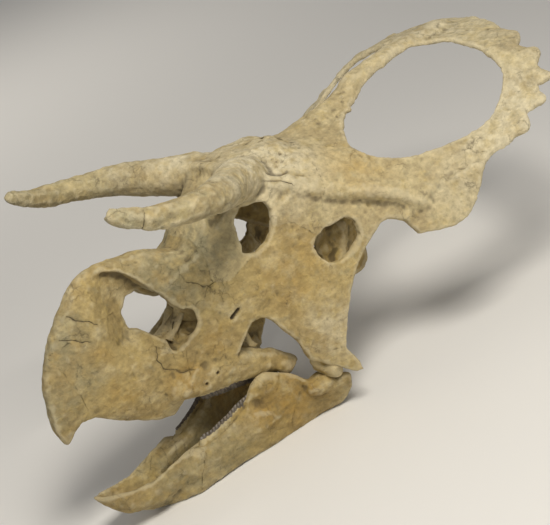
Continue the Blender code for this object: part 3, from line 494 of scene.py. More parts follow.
def horn_relief(places):
    """Heights for the grain on both horns, and how much of each vertex is horn."""
    height, share = np.zeros(len(places)), np.zeros(len(places))
    for side, path in enumerate((HORN, mirrored(HORN))):
        far, length = along(places, path)
        horn = within(far, 0.060, 0.080) * within(0.12 - length, 0.0, 0.10)
        around = places - 0.8 * length[:, None] * np.array((-0.85, 0.0, 0.12))
        fibre = hills(around, 0.014, 11 + side) + 0.7 * hills(around, 0.008, 13 + side)
        knots = hills(places, 0.030, 15 + side) + 0.6 * hills(places, 0.014, 19 + side)
        broken = length + 0.010 * hills(places, 0.02, 21 + side)
        broken = broken[:, None] * np.array((1.0, 0, 0))
        rings = within(np.abs(hills(broken, 0.045, 17 + side)), 0.02, 0.16)
        outer_half = within(0.24 - length, 0.0, 0.12)
        height += horn * (0.0012 * knots + outer_half * (0.0016 * fibre - 0.0010 * rings))
        share = np.maximum(share, horn)
    return height, share


horn_height, horn_share = horn_relief(outer.places)
print(f"{int((horn_share > 0.5).sum())} vertices carry horn grain")

# %% [markdown]
# ## Swells, dents and pits of old bone
# Bone is never flat: it swells and sinks by a millimetre or two every few centimetres, and
# its skin is hammered finely. Four sizes of hills are added up. The brows and the root of
# the frill are knobbly, because thick skin grew on them, and the thin rims of the frill
# windows are chipped.

# %% Overall relief
FRILL_ROOT = [(0.70, -0.20, 0.64), (0.74, -0.10, 0.67), (0.76, 0.0, 0.68),
              (0.74, 0.10, 0.67), (0.70, 0.20, 0.64)]
SNOUT_BACK = [(0.36, -0.07, 0.53), (0.45, -0.10, 0.55), (0.46, -0.11, 0.50)]
WINDOW_FRONT = [(0.97, -0.30, 0.545), (0.93, -0.22, 0.60), (0.93, -0.14, 0.64),
                (0.97, -0.07, 0.66), (1.05, -0.04, 0.68)]


def bone_relief(places):
    """Heights for the swells and dents that all bones share."""
    height = 0.0020 * hills(places, 0.070, 1) + 0.0014 * hills(places, 0.032, 2)
    height += 0.0013 * hills(places, 0.015, 3) + 0.0008 * hills(places, 0.008, 4)
    pits = np.clip(hills(places, 0.012, 5) - 0.55, 0, 1)
    return height - 0.0012 * pits


def rugged_relief(places):
    """Knobs on the frill's root and behind the snout, and chips on the window's front rim."""
    root = within(along(places, FRILL_ROOT)[0], 0.020, 0.060)
    for path in (SNOUT_BACK, mirrored(SNOUT_BACK)):
        root = np.maximum(root, 0.55 * within(along(places, path)[0], 0.020, 0.060))
    knobs = np.abs(hills(places, 0.026, 6)) + 0.6 * np.abs(hills(places, 0.012, 7))
    chips = sum(
        within(along(places, path)[0], 0.020, 0.045) for path in (WINDOW_FRONT, mirrored(WINDOW_FRONT))
    )
    return root * (0.0045 * knobs - 0.0018) + chips * 0.0022 * hills(places, 0.014, 8)


outer.raise_by(horn_height + bone_relief(outer.places) + rugged_relief(outer.places))
jaw.raise_by(0.8 * bone_relief(jaw.places))
print("swells, dents, knobs and chips are in the skin")

# %% [markdown]
# ## Cracks and sutures
# A skull this old is a mended puzzle. Its open cracks could be left to chance, but they run
# where the bone is weak: round the horn, across the beak, below the nostril. So each is drawn
# as a few points. Vessels and nerves left small holes in the cheek, given the same way.

# %% Drawing the cracks
CRACKS = {
    "beak, upper": [(0.105, -0.019, 0.550), (0.129, -0.035, 0.526), (0.167, -0.040, 0.497)],
    "beak, middle": [(0.067, -0.020, 0.511), (0.099, -0.034, 0.490), (0.134, -0.045, 0.469)],
    "below the nostril": [(0.273, -0.052, 0.383), (0.255, -0.067, 0.350), (0.265, -0.064, 0.321),
                          (0.302, -0.070, 0.291), (0.341, -0.084, 0.282)],
    "behind the nostril": [(0.383, -0.089, 0.496), (0.409, -0.099, 0.475), (0.437, -0.112, 0.453)],
    "above the cheek ridge": [(0.634, -0.163, 0.646), (0.668, -0.172, 0.625), (0.698, -0.183, 0.603)],
    "horn root": [(0.586, -0.097, 0.702), (0.585, -0.075, 0.688), (0.583, -0.049, 0.674),
                  (0.582, -0.030, 0.664)],
    "horn root, branch": [(0.585, -0.075, 0.690), (0.608, -0.063, 0.688), (0.635, -0.057, 0.684)],
    "horn tip": [(0.263, -0.281, 0.762), (0.251, -0.290, 0.747), (0.244, -0.284, 0.732),
                 (0.240, -0.262, 0.728)],
    "lower beak": [(0.264, -0.044, 0.083), (0.265, -0.069, 0.049), (0.235, -0.072, 0.001)],
}
HOLES = [
    [(0.449, -0.122, 0.365), (0.470, -0.130, 0.378)],
    [(0.338, -0.094, 0.240)],
    [(0.373, -0.101, 0.252)],
]
print(f"{len(CRACKS)} cracks and {len(HOLES)} holes drawn for each side")

# %% [markdown]
# ## Finer than the squares
# The hills push the drawn lines sideways so that they wander. A crack is thinner than the
# skin's squares, so beside the furrow each vertex keeps its distance from the line, positive
# on one side and negative on the other. Between two vertices that number passes through
# nought exactly on the line, and there the material can draw it as fine as a hair. Sutures
# are only faint, broken furrows.

# %% Cutting the cracks
NO_CRACK = 0.05
FURROW_DEPTH, SEAM_DEPTH, HOLE_DEPTH = 0.0014, 0.0003, 0.008


def near_ends(places):
    """1 at the ends of the cracks, where the line must fade out."""
    ends = [line[i] for line in CRACKS.values() for i in (0, -1)]
    return np.max([within(along(places, [end])[0], 0.003, 0.007) for end in ends + mirrored(ends)], 0)


def crack_distance(skin):
    """Distance from the nearest drawn crack, positive on one side of it and negative on the other."""
    wander = [0.005 * hills(skin.places, 0.016, 20 + axis) for axis in range(3)]
    places = skin.places + np.stack(wander, 1)
    normals = skin.normals @ TURN
    signed = np.full(len(places), NO_CRACK)
    for line in [*CRACKS.values(), *map(mirrored, CRACKS.values())]:
        for start, end in zip(line, line[1:]):
            run = np.subtract(end, start)
            share = np.clip((places - start) @ run / (run @ run), 0, 1)
            gap = places - start - share[:, None] * run
            far = np.linalg.norm(gap, axis=1)
            left = (np.cross(run, gap) * normals).sum(1) < 0
            signed = np.where(far < np.abs(signed), np.where(left, -far, far), signed)
    return signed


for skin in (outer, jaw):
    skin.line = crack_distance(skin)
    seam = skin.suture * np.clip(0.2 + hills(skin.places, 0.05, 24), 0, 1)
    holes = np.zeros(len(skin.places))
    for hole in [*HOLES, *map(mirrored, HOLES)]:
        holes = np.maximum(holes, within(along(skin.places, hole)[0], 0.0015, 0.006))
    far = np.abs(skin.line)
    skin.crack = np.maximum(within(far, 0.003, 0.008) * (1 - near_ends(skin.places)), 0.1 * seam)
    skin.hole = holes
    furrow = skin.crack * within(far, 0.0, 0.006)
    skin.raise_by(-FURROW_DEPTH * furrow - SEAM_DEPTH * seam - HOLE_DEPTH * holes)
print("cracks, seams and holes are cut")

# %% [markdown]
# ## Painted shade in the hollows, wear on the edges
# Hollows are darkened as painted shade, and handling rubs the edges pale. A renderer would shade the
# hollows by itself, but here both are measured on the mesh and stored on its vertices, where the materials
# read them. A vertex below the mean of its neighbours lies in a hollow, and one above it on an edge. A
# second, much wider mean finds the broad hollows. A quarter of a millimetre counts as a full sharp hollow,
# and three millimetres as a full broad one.

# %% Measuring hollows and edges


def store(mesh, name, values):
    """Keeps one number for each vertex under a name."""
    attribute = mesh.attributes.new(name, "FLOAT", "POINT")
    attribute.data.foreach_set("value", values.astype(np.float32))


FULL_SHARP, FULL_BROAD = 0.00025, 0.0030


def weather_and_shade(skin):
    """Stores the hollow mask for painted shade, and edge, crack, line and hole, on the skin's vertices."""
    near = neighbour_mean(skin.points, skin.edges) - skin.points
    sharp = (near * skin.normals).sum(1)[:, None]
    wide = skin.points
    for _ in range(14):
        wide = neighbour_mean(wide, skin.edges)
    broad = ((wide - skin.points) * skin.normals).sum(1)[:, None]
    for _ in range(2):
        sharp = neighbour_mean(sharp, skin.edges)
    sharp, broad = sharp[:, 0] / FULL_SHARP, broad[:, 0] / FULL_BROAD
    # the hollow mask is painted shade: the materials darken the hollows with it
    store(skin.mesh, "hollow", np.clip(0.6 * sharp + 0.6 * broad, 0, 1))
    store(skin.mesh, "edge", np.clip(-0.5 * sharp - 0.7 * broad, 0, 1))
    store(skin.mesh, "crack", np.clip(skin.crack, 0, 1))
    store(skin.mesh, "line", skin.line)
    store(skin.mesh, "hole", skin.hole)


for skin in (outer, jaw):
    weather_and_shade(skin)
print("hollows, edges and cracks are stored")

# %% [markdown]
# ## Stains, and spots of painted light and shade
# Minerals stained the bone while it lay in the ground: rust where iron was near, greenish grey along the
# snout, pale cream where it was bleached. A pale spot on the root of each horn is a painted pool of light,
# and two grey spots on each side at the bottom of the lower jaw are painted shade. Each spot is soft, with
# a place, a radius and a strength. Noise in the material frays their borders.

# %% Placing the stains and the painted spots
RUST = [
    ((0.16, -0.05, 0.32), 0.06, 0.5), ((0.13, -0.045, 0.42), 0.035, 0.7), ((0.30, -0.07, 0.27), 0.05, 0.8),
    ((0.40, -0.10, 0.33), 0.05, 0.5), ((0.52, -0.13, 0.10), 0.09, 0.8), ((0.44, -0.10, 0.10), 0.07, 0.7),
    ((0.62, -0.18, 0.40), 0.10, 0.4), ((0.86, -0.22, 0.60), 0.10, 0.5),
]
# the last two spots, at the bottom of the lower jaw, are painted shade that darkens it towards the bottom
GREY = [
    ((0.36, -0.06, 0.52), 0.11, 0.6), ((0.44, -0.25, 0.70), 0.12, 0.35), ((0.29, -0.27, 0.74), 0.10, 0.45),
    ((0.07, -0.02, 0.50), 0.08, 0.6), ((0.02, -0.01, 0.36), 0.07, 0.5), ((0.22, -0.26, 0.765), 0.05, 0.7),
    ((0.46, -0.10, 0.56), 0.09, 0.7), ((0.10, -0.03, 0.40), 0.05, 0.6), ((0.20, -0.05, 0.02), 0.10, 0.5),
    ((0.33, -0.08, 0.04), 0.10, 0.4),
]
PALE = [
    # the second spot, on the root of each horn, is a painted pool of light
    ((0.70, -0.12, 0.66), 0.14, 0.8), ((0.60, -0.14, 0.69), 0.09, 0.9), ((0.49, -0.23, 0.70), 0.06, 0.6),
    ((1.25, -0.40, 0.52), 0.22, 0.8), ((1.40, 0.0, 0.62), 0.30, 0.7), ((1.05, -0.40, 0.45), 0.12, 0.5),
    ((0.66, -0.23, 0.24), 0.08, 0.5),
]


def spot_strength(places, spots):
    """Strength of the spots at each vertex, the same on both sides of the skull: stains, and spots of
    painted light and shade.
    """
    mirrored_places = places * np.where(places[:, 1:2] > 0, (1, -1, 1), (1, 1, 1))
    total = np.zeros(len(places))
    for centre, radius, strength in spots:
        far = np.linalg.norm(mirrored_places - np.array(centre), axis=1)
        total = np.maximum(total, strength * within(far, 0.2 * radius, 1.5 * radius))
    return total


for skin in (outer, jaw):
    for name, spots in (("rust", RUST), ("grey", GREY), ("pale", PALE)):
        store(skin.mesh, name, spot_strength(skin.places, spots))
print(f"{len(RUST)} rusty, {len(GREY)} grey and {len(PALE)} pale stains")

# %% [markdown]
# ## Lids for the cuts
# Cutting a bone out of the skin leaves open rims, and a library part should be closed. A rim
# runs round the section of a wall of bone, so it is closed by clipping its shortest corner
# again and again, which keeps the lid inside the wall.

# %% Closing the rims


def close_rims(mesh):
    """Closes the cuts of one bone and keeps their edges sharp, so the lids don't shade the skin."""
    bm = bmesh.new()
    bm.from_mesh(mesh)
    for vert in list(bm.verts):
        cut = [edge for edge in vert.link_edges if edge.is_boundary]
        if len(cut) > 2:
            bmesh.utils.vert_separate(vert, cut)
    follow = {}
    for edge in bm.edges:
        if edge.is_boundary:
            edge.smooth = False
            loop = edge.link_loops[0]
            follow[loop.link_loop_next.vert] = loop.vert
    while follow:
        start, vert = follow.popitem()
        ring = [start]
        while vert is not start:
            ring.append(vert)
            vert = follow.pop(vert)
        clip_corners(bm, ring)
    bm.to_mesh(mesh)
    bm.free()


def clip_corners(bm, ring):
    """Fills a ring with triangles, always across its shortest corner."""
    after = {vert: ring[(i + 1) % len(ring)] for i, vert in enumerate(ring)}
    before = {ahead: vert for vert, ahead in after.items()}
    order = itertools.count()

    def corner(vert):
        a, b = before[vert], after[vert]
        return ((a.co - b.co).length, next(order), a, vert, b)

    corners = [corner(vert) for vert in ring]
    heapq.heapify(corners)
    left = len(ring)
    while left > 2:
        _, _, a, vert, b = heapq.heappop(corners)
        if before.get(vert) is not a or after.get(vert) is not b:
            continue
        if bm.faces.get((a, vert, b)) is None:
            bm.faces.new((a, vert, b)).smooth = True
        del before[vert], after[vert]
        after[a], before[b] = b, a
        left -= 1
        for again in (a, b):
            heapq.heappush(corners, corner(again))


print("rims can be closed")

# %% [markdown]
# ## Parting the skin into bones
# Each bone is now cut out of the carved skin as a piece of its own. Giving every square the
# material number of its bone lets Blender's Separate by Material do the cutting at once.

# %% Parting the bones


def part(skin):
    """One closed object for each bone of the skin."""
    for bone in skin.bones:
        skin.mesh.materials.append(bpy.data.materials.new(bone))
    skin.mesh.polygons.foreach_set("material_index", skin.owner.astype(np.int32))
    skin.mesh.polygons.foreach_set("use_smooth", np.ones(len(skin.owner), bool))
    whole = placed("skin", skin.mesh)
    bpy.ops.object.select_all(action="DESELECT")
    whole.select_set(True)
    bpy.context.view_layer.objects.active = whole
    bpy.ops.object.mode_set(mode="EDIT")
    bpy.ops.mesh.select_all(action="SELECT")
    bpy.ops.mesh.separate(type="MATERIAL")
    bpy.ops.object.mode_set(mode="OBJECT")
    pieces = {}
    for piece in bpy.context.selected_objects:
        bone = piece.data.materials[0].name
        piece.name = f"{bone}_fossil"
        piece.data.name = piece.name
        close_rims(piece.data)
        pieces[bone] = piece
    return pieces


fossils = {**part(outer), **part(jaw)}
print(f"{len(fossils)} bones parted and closed")

# %% [markdown]
# ## The inner bones
# Behind the openings lie the braincase, the palate and the struts that carry the jaw joint.
# They are seen only in shadow, so the same wrapping and hills do, with a coarser grain, and
# each bone is made by itself.

# %% Braincase, palate and struts
INNER = ["braincase", "quadrate_left", "quadrate_right", "pterygoid_left", "pterygoid_right"]
JAW_JOINT = [(0.604, -0.175, 0.135)]
BEHIND_WINDOW = [(0.76, -0.14, 0.45), (0.80, -0.15, 0.41), (0.83, -0.145, 0.37)]
STRUT_EDGE = [(0.755, -0.140, 0.420)]

for bone in INNER:
    inside = Skin(wrapped(bone, [bone], grain=0.0045), rounds=14)
    brush(inside, JAW_JOINT, 0.020, 0.060, (0.022, -0.012, -0.006), swell=0.007)
    brush(inside, BEHIND_WINDOW, 0.030, 0.060, smooth=18)
    brush(inside, STRUT_EDGE, 0.020, 0.050, (-0.022, -0.008, 0.0))
    inside.raise_by(bone_relief(inside.places))
    inside.crack = np.zeros(len(inside.points))
    inside.hole, inside.line = inside.crack, inside.crack + NO_CRACK
    weather_and_shade(inside)
    for name in ("rust", "grey", "pale"):
        store(inside.mesh, name, np.zeros(len(inside.points)))
    inside.mesh.polygons.foreach_set("use_smooth", np.ones(len(inside.squares), bool))
    fossils[bone] = placed(f"{bone}_fossil", inside.mesh)
print(f"{len(INNER)} inner bones")

# %% [markdown]
# ## Teeth
# The cheek teeth stand shoulder to shoulder in each jaw. A crown is shaped like a leaf, with
# a keel down its outer face and a worn, bevelled top. Each crown is modelled from a cube: it
# is subdivided, drawn in at the root and pushed out along the keel.

# %% One crown
CROWN_WIDTH = 0.0090
CROWN_HEIGHT = 0.026


def crown(bm, place, ahead, up, wear):
    """Adds one leaf-shaped crown whose tip lies at the place."""
    older = len(bm.verts)
    made = bmesh.ops.create_cube(bm, size=1.0)["verts"]
    edges = {edge for vert in made for edge in vert.link_edges}
    bmesh.ops.subdivide_edges(bm, edges=list(edges), cuts=2, use_grid_fill=True)
    across = ahead.cross(Vector((0, 0, 1))).normalized()
    for vert in list(bm.verts)[older:]:
        along_row, out, rise = vert.co
        full = 1 - 0.45 * (0.5 - rise) ** 2 - 0.25 * (rise + 0.5) ** 3
        keel = 0.35 * max(0, 1 - 3.2 * abs(along_row)) * math.copysign(1, out) * (abs(out) > 0.3)
        vert.co = (
            place
            + ahead * (along_row * full * 1.15 * CROWN_WIDTH)
            + across * ((out + keel) * 0.62 * CROWN_WIDTH * full)
            + up * ((rise - 0.5) * CROWN_HEIGHT + wear * out * (rise > 0.3))
        )


print(f"a crown is {1000 * CROWN_WIDTH:.0f} mm wide and {1000 * CROWN_HEIGHT:.0f} mm high")

# %% [markdown]
# ## Rows of teeth
# The crowns are set along a line in each jaw. Their height and lean change a little from one
# to the next, since no two crowns are worn alike.

# %% Rows of crowns
LOWER_ROW = [(0.284, -0.054, 0.103), (0.321, -0.063, 0.108), (0.366, -0.074, 0.124), (0.405, -0.083, 0.140),
             (0.450, -0.090, 0.150), (0.478, -0.094, 0.151)]
UPPER_ROW = [(0.330, -0.052, 0.198), (0.380, -0.060, 0.187), (0.440, -0.066, 0.176), (0.500, -0.070, 0.160),
             (0.542, -0.073, 0.150)]


def tooth_row(name, row, up):
    """One object holding all crowns of a row, on the given side of both jaws."""
    points = [SEAT @ Vector(place) for place in row]
    runs = [(b - a).length for a, b in zip(points, points[1:])]
    lengths = list(itertools.accumulate(runs, initial=0))
    bm = bmesh.new()
    count = int(lengths[-1] / CROWN_WIDTH)
    jitter = hills(np.array([(0.1 * k, 0.0, 0.0) for k in range(count)]), 0.05, len(name))
    for k in range(count):
        reach = lengths[-1] * (k + 0.5) / count
        run = max(i for i in range(len(lengths) - 1) if lengths[i] <= reach)
        ahead = (points[run + 1] - points[run]).normalized()
        place = points[run] + ahead * (reach - lengths[run]) + up * (0.006 + 0.0022 * jitter[k])
        crown(bm, place, ahead, (up + ahead * 0.12 * jitter[k]).normalized(), 0.004)
    bmesh.ops.recalc_face_normals(bm, faces=bm.faces)
    teeth = built(name, bm)
    teeth.data.polygons.foreach_set("use_smooth", np.ones(len(teeth.data.polygons), bool))
    return teeth, count


tooth_rows = []
for row_name, row, up in (("lower_teeth", LOWER_ROW, 1), ("upper_teeth", UPPER_ROW, -1)):
    for side, path in (("left", row), ("right", mirrored(row))):
        teeth, crowns = tooth_row(f"{row_name}_{side}", path, Vector((0, 0, up)))
        tooth_rows.append(teeth)
        print(f"{teeth.name}: {crowns} crowns")

# %% [markdown]
# ## Short words for shader nodes
# A material is a graph of small nodes. Written out one by one, a few colours fill pages, so
# these helpers each add a node and return what comes out of it.

# %% Helpers for nodes


def node(tree, kind, inputs=None, **settings):
    """A new shader node with its settings, and its inputs set or linked."""
    made = tree.nodes.new("ShaderNode" + kind)
    for key, value in settings.items():
        setattr(made, key, value)
    for key, value in (inputs or {}).items():
        if isinstance(value, bpy.types.NodeSocket):
            tree.links.new(value, made.inputs[key])
        else:
            made.inputs[key].default_value = value
    return made


def blank(name):
    """A new material, its node tree and its shader."""
    material = bpy.data.materials.new(name)
    material.use_nodes = True
    return material, material.node_tree, material.node_tree.nodes["Principled BSDF"]


def coat(tree, shader, colour, roughness, height, strength, depth):
    """Gives a shader its colour and roughness, and bumps of a depth in metres."""
    tree.links.new(colour, shader.inputs["Base Color"])
    bump = node(tree, "Bump", {"Height": height, "Strength": strength, "Distance": depth})
    tree.links.new(bump.outputs["Normal"], shader.inputs["Normal"])
    shader.inputs["Roughness"].default_value = roughness


def ramp(tree, value, low, high, bottom=0.0, top=1.0):
    """The value, stretched smoothly from low and high to bottom and top."""
    ends = {"Value": value, "From Min": low, "From Max": high, "To Min": bottom, "To Max": top}
    return node(tree, "MapRange", ends, interpolation_type="SMOOTHSTEP").outputs["Result"]


def noise(tree, place, scale, detail=5.0, rough=0.6):
    """Cloudy noise from 0 to 1."""
    settings = {"Vector": place, "Scale": scale, "Detail": detail, "Roughness": rough}
    return node(tree, "TexNoise", settings).outputs["Fac"]


def math_node(tree, operation, *values):
    """The result of a sum on numbers."""
    return node(tree, "Math", dict(enumerate(values)), operation=operation).outputs[0]


def stored(tree, name):
    """A number stored on the vertices."""
    return node(tree, "Attribute", attribute_name=name).outputs["Fac"]


def blended(tree, share, under, over, kind="MIX"):
    """The colour under, covered by the colour over where the share is 1."""
    return node(tree, "Mix", {0: share, 6: under, 7: over}, data_type="RGBA", blend_type=kind).outputs[2]


def rgb(red, green, blue):
    """An opaque colour."""
    return (red, green, blue, 1.0)


print("helpers for nodes are ready")

# %% [markdown]
# ## Clouds of colour
# Fossil bone is stone with the texture of bone: ochre and cream clouds, dark specks in the pores, no shine.
# An image could show it, but noise read from the object's own coordinates runs unbroken over all bones and
# has no seams. The stored stains and painted spots, the edges and the painted shade of the hollows then say
# where the clouds turn darker or paler.

# %% Clouds, stains, dirt and painted shade
OCHRE = rgb(0.43, 0.312, 0.105)
CREAM = rgb(0.62, 0.525, 0.305)
TAN = rgb(0.27, 0.185, 0.075)
RUSTY = rgb(0.42, 0.26, 0.055)
SULPHUR = rgb(0.50, 0.37, 0.11)
GREENISH = rgb(0.27, 0.255, 0.155)
# pale cream of bleached bone and rubbed edges, and also the colour of the painted pool of light on the root
# of each horn
BLEACHED_AND_LIT = rgb(0.72, 0.645, 0.45)
# dark soil for the specks, cracks and holes, and also the colour of the painted shade in the hollows
SOIL_AND_SHADE = rgb(0.050, 0.034, 0.016)
# each cloud: scale of its noise, the noise where it starts and ends, its share there, colour
CLOUDS = [
    (6.0, 0.40, 0.62, 0.42, 0.0, TAN),
    (17.0, 0.48, 0.66, 0.0, 0.45, CREAM),
    (31.0, 0.54, 0.72, 0.0, 0.40, SULPHUR),
    (37.0, 0.54, 0.72, 0.0, 0.35, GREENISH),
]


def clouded(tree, place, light):
    """Bone between ochre, at light 0, and cream, at light 1, with clouds, stains and spots of painted light
    and shade.
    """
    colour = blended(tree, light, OCHRE, CREAM)
    for scale, low, high, bottom, top, tint in CLOUDS:
        share = ramp(tree, noise(tree, place, scale), low, high, bottom, top)
        colour = blended(tree, share, colour, tint)
    frayed = ramp(tree, noise(tree, place, 28.0), 0.30, 0.62)
    for spot_name, tint in (("rust", RUSTY), ("grey", GREENISH), ("pale", BLEACHED_AND_LIT)):
        share = math_node(tree, "MULTIPLY", stored(tree, spot_name), frayed)
        colour = blended(tree, share, colour, tint)
    return colour


def soiled_and_shaded(tree, place, colour, hollow_shade):
    """The colour with pale worn edges, painted shade in the hollows and dark specks in the pores."""
    colour = blended(tree, ramp(tree, stored(tree, "edge"), 0.2, 1.0, 0.0, 0.28), colour, BLEACHED_AND_LIT)
    # painted shade: the hollows are darkened by the stored hollow mask
    colour = blended(tree, ramp(tree, stored(tree, "hollow"), 0.1, 1.0, 0.0, 0.64 * hollow_shade), colour, SOIL_AND_SHADE)
    return blended(tree, ramp(tree, noise(tree, place, 150.0, 3.0), 0.57, 0.72, 0.0, 0.22), colour, SOIL_AND_SHADE)


print(f"{len(CLOUDS)} kinds of cloud")

# %% [markdown]
# ## Fine cracks
# Cells of a Voronoi texture give the fine crazing. Their straight borders would look like
# tiles, so the place is first pushed about by noise, which makes them jagged, and patches of
# noise hide most of them. The cracks that were carved are drawn as hairlines where the
# stored distance from the line passes through nought.

# %% Crazing and hairlines


def crazing(tree, place):
    """Jagged hairline cracks, in patches."""
    cloud = {"Vector": place, "Scale": 26.0, "Detail": 5.0, "Roughness": 0.7}
    push = {0: node(tree, "TexNoise", cloud).outputs["Color"], 1: (0.045, 0.045, 0.045), 2: place}
    pushed = node(tree, "VectorMath", push, operation="MULTIPLY_ADD").outputs[0]
    cells = node(tree, "TexVoronoi", {"Vector": pushed, "Scale": 24.0}, feature="DISTANCE_TO_EDGE")
    lines = ramp(tree, cells.outputs["Distance"], 0.0, 0.034, 1.0, 0.0)
    return math_node(tree, "MULTIPLY", lines, ramp(tree, noise(tree, place, 14.0), 0.48, 0.62))


def cracked(tree, place):
    """Crazing and the carved cracks together, 1 where they are darkest."""
    fine = math_node(tree, "MULTIPLY", crazing(tree, place), 0.38)
    drawn = ramp(tree, math_node(tree, "ABSOLUTE", stored(tree, "line")), 0.0003, 0.0014, 1.0, 0.0)
    drawn = math_node(tree, "MULTIPLY", drawn, ramp(tree, stored(tree, "crack"), 0.3, 0.9))
    return math_node(tree, "MAXIMUM", fine, math_node(tree, "MULTIPLY", drawn, 0.9))


print("fine cracks are ready")

# %% [markdown]
# ## The material of the bones
# Colour, dirt, the painted shade of the hollows and cracks come together in one matte material, with a bump
# for what is too small to carve. The horns, frill, face and jaw differ only in a few numbers, so one
# function makes them all.

# %% Fossil bone


def fossil_bone(name, light, hollow_shade=1.0, grain=(1.0, 1.0, 1.0), dull=1.0):
    """Matte fossil bone; grain draws its fibres out, dull darkens it below 1, and the number after light
    sets how dark the painted shade in its hollows is.
    """
    material, tree, shader = blank(name)
    place = node(tree, "TexCoord").outputs["Object"]
    drawn_out = node(tree, "VectorMath", {0: place, 1: grain}, operation="MULTIPLY").outputs[0]
    fibre = noise(tree, drawn_out, 70.0)
    mottle = noise(tree, place, 48.0, 6.0, 0.7)
    mottled = ramp(tree, mottle, 0.32, 0.68, 0.86, 1.08)
    fibrous = ramp(tree, fibre, 0.32, 0.68, 0.86, 1.10)
    lit = math_node(tree, "MULTIPLY", math_node(tree, "MULTIPLY", mottled, fibrous), dull)
    colour = blended(tree, 1.0, clouded(tree, place, light), lit, "MULTIPLY")
    colour = soiled_and_shaded(tree, place, colour, hollow_shade)
    cracks = cracked(tree, place)
    colour = blended(tree, cracks, colour, SOIL_AND_SHADE)
    colour = blended(tree, ramp(tree, stored(tree, "crack"), 0.0, 1.0, 0.0, 0.12), colour, SOIL_AND_SHADE)
    colour = blended(tree, ramp(tree, stored(tree, "hole"), 0.2, 0.8, 0.0, 0.95), colour, SOIL_AND_SHADE)
    pores = noise(tree, place, 110.0, 6.0, 0.7)
    rough_skin = math_node(tree, "ADD", pores, math_node(tree, "MULTIPLY", mottle, 1.6))
    carved = math_node(tree, "SUBTRACT", math_node(tree, "ADD", rough_skin, fibre), cracks)
    coat(tree, shader, colour, 0.8, carved, strength=1.0, depth=0.0022)
    return material


print("fossil bone is ready")

# %% [markdown]
# ## Enamel and finishes
# Worn enamel is darker, greyer and a little smoother than bone, with brown stains. With it,
# the skull has six finishes: the frill is the palest, and the jaw and the inner bones the
# darkest.

# %% Six finishes


def enamel(name):
    """Grey worn enamel with brown stains."""
    material, tree, shader = blank(name)
    place = node(tree, "TexCoord").outputs["Object"]
    clouds = ramp(tree, noise(tree, place, 60.0), 0.35, 0.65)
    colour = blended(tree, clouds, rgb(0.085, 0.072, 0.060), rgb(0.19, 0.165, 0.135))
    stains = ramp(tree, noise(tree, place, 140.0), 0.45, 0.65, 0.0, 0.6)
    colour = blended(tree, stains, colour, rgb(0.12, 0.085, 0.045))
    wear = noise(tree, place, 300.0, 3.0)
    coat(tree, shader, colour, 0.5, wear, strength=0.5, depth=0.0006)
    return material


# the inner bones get the strongest painted shade in their hollows
FINISH = {
    "face_bone": fossil_bone("face_bone", 0.20, grain=(0.9, 0.9, 1.25), dull=0.90),
    "horn_bone": fossil_bone("horn_bone", 0.60, dull=0.90),
    "frill_bone": fossil_bone("frill_bone", 0.80, dull=0.93),
    "inner_bone": fossil_bone("inner_bone", 0.0, hollow_shade=1.1, dull=0.92),
    "jaw_bone": fossil_bone("jaw_bone", 0.10, grain=(0.7, 1.0, 1.2), dull=0.83),
    "tooth_enamel": enamel("tooth_enamel"),
}
print(f"{len(FINISH)} finishes")

# %% [markdown]
# ## Dressing the skull
# Every piece takes the finish that the record names for its bone, stands in for that bone's
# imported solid, and rides on the one body of the skull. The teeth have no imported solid, so
# they only ride along.

# %% Each bone gets its finish
SLOT_OF = {row["node"]: row["material_slot"] for row in frame["record"]["subparts"]}
for bone, piece in fossils.items():
    piece.data.materials.clear()
    piece.data.materials.append(FINISH[SLOT_OF[bone]])
    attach(piece, "root")
    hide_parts(bone)
for teeth in tooth_rows:
    teeth.data.materials.append(FINISH["tooth_enamel"])
    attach(teeth, "root")
triangles = {bone: 2 * len(piece.data.polygons) for bone, piece in fossils.items()}
print(f"{sum(triangles.values())} triangles, most in {max(triangles, key=triangles.get)}")

# %% [markdown]
# ## Floor and light
# The skull stands on a wide plain floor. A panel above the camera's side is the key light,
# and a larger, weaker one in front keeps the shadows of the horns and of the cheek ridge
# short and soft. A third lights the floor behind, and an even grey sky adds
# the rest. The Standard view shows the colours as they were mixed.

# %% The studio


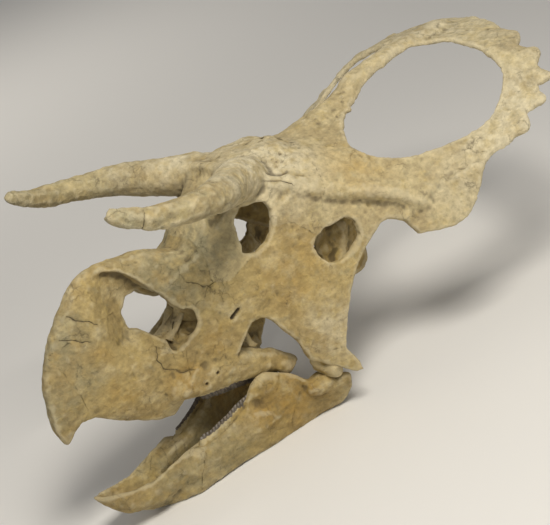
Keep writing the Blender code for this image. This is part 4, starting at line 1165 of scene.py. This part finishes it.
def pale_floor():
    """A wide plain floor of pale plaster."""
    bm = bmesh.new()
    bmesh.ops.create_grid(bm, x_segments=1, y_segments=1, size=30.0)
    floor = built("floor", bm)
    plaster, _, shader = blank("pale_floor")
    shader.inputs["Base Color"].default_value = (0.78, 0.77, 0.75, 1)
    shader.inputs["Roughness"].default_value = 0.9
    floor.data.materials.append(plaster)
    return floor


def soft_light(name, place, target, size, power):
    """A square light panel that faces a target."""
    lamp = bpy.data.lights.new(name, "AREA")
    lamp.size = size
    lamp.energy = power
    lamp.color = (1.0, 0.95, 0.86)
    light = placed(name, lamp)
    light.location = place
    light.rotation_euler = (Vector(target) - Vector(place)).to_track_quat("-Z", "Y").to_euler()
    return light


pale_floor()
soft_light("key", (-0.5, -2.0, 3.3), (0.0, 0.0, 0.4), 1.2, 110)
soft_light("fill", (-3.0, -3.2, 1.6), (0.0, 0.0, 0.4), 2.5, 20)
soft_light("backdrop", (0.5, 5.0, 3.5), (0.5, 5.5, 0.0), 3.0, 75)
world = bpy.data.worlds.new("studio")
bpy.context.scene.world = world
world.use_nodes = True
world.node_tree.nodes["Background"].inputs["Color"].default_value = (0.90, 0.89, 0.88, 1)
world.node_tree.nodes["Background"].inputs["Strength"].default_value = 0.24
bpy.context.scene.view_settings.view_transform = "Standard"
print("one floor, three panels and a grey sky")

# %% [markdown]
# ## Camera
# The camera looks at the left side from a little in front and above, and its frame is tilted.
# Its right, up and back are given for the level skull, so the same matrix seats it too.

# %% The camera
RIGHT = Vector((0.73784, -0.59659, -0.31571))
UP = Vector((0.47064, 0.11945, 0.87420))
BACK = Vector((-0.48383, -0.79361, 0.36892))
EYE = Vector((-0.87693, -2.56877, 1.56492))
camera = placed("camera", bpy.data.cameras.new("camera"))
camera.data.sensor_width = 36.0
camera.data.lens = 83.36
camera.matrix_world = SEAT @ (Matrix((RIGHT, UP, BACK)).transposed().to_4x4())
camera.location = SEAT @ EYE
camera.data.clip_end = 100.0
bpy.context.scene.camera = camera
print(f"the camera stands {(camera.location - SEAT @ Vector((0.7, 0, 0.4))).length:.2f} m away")
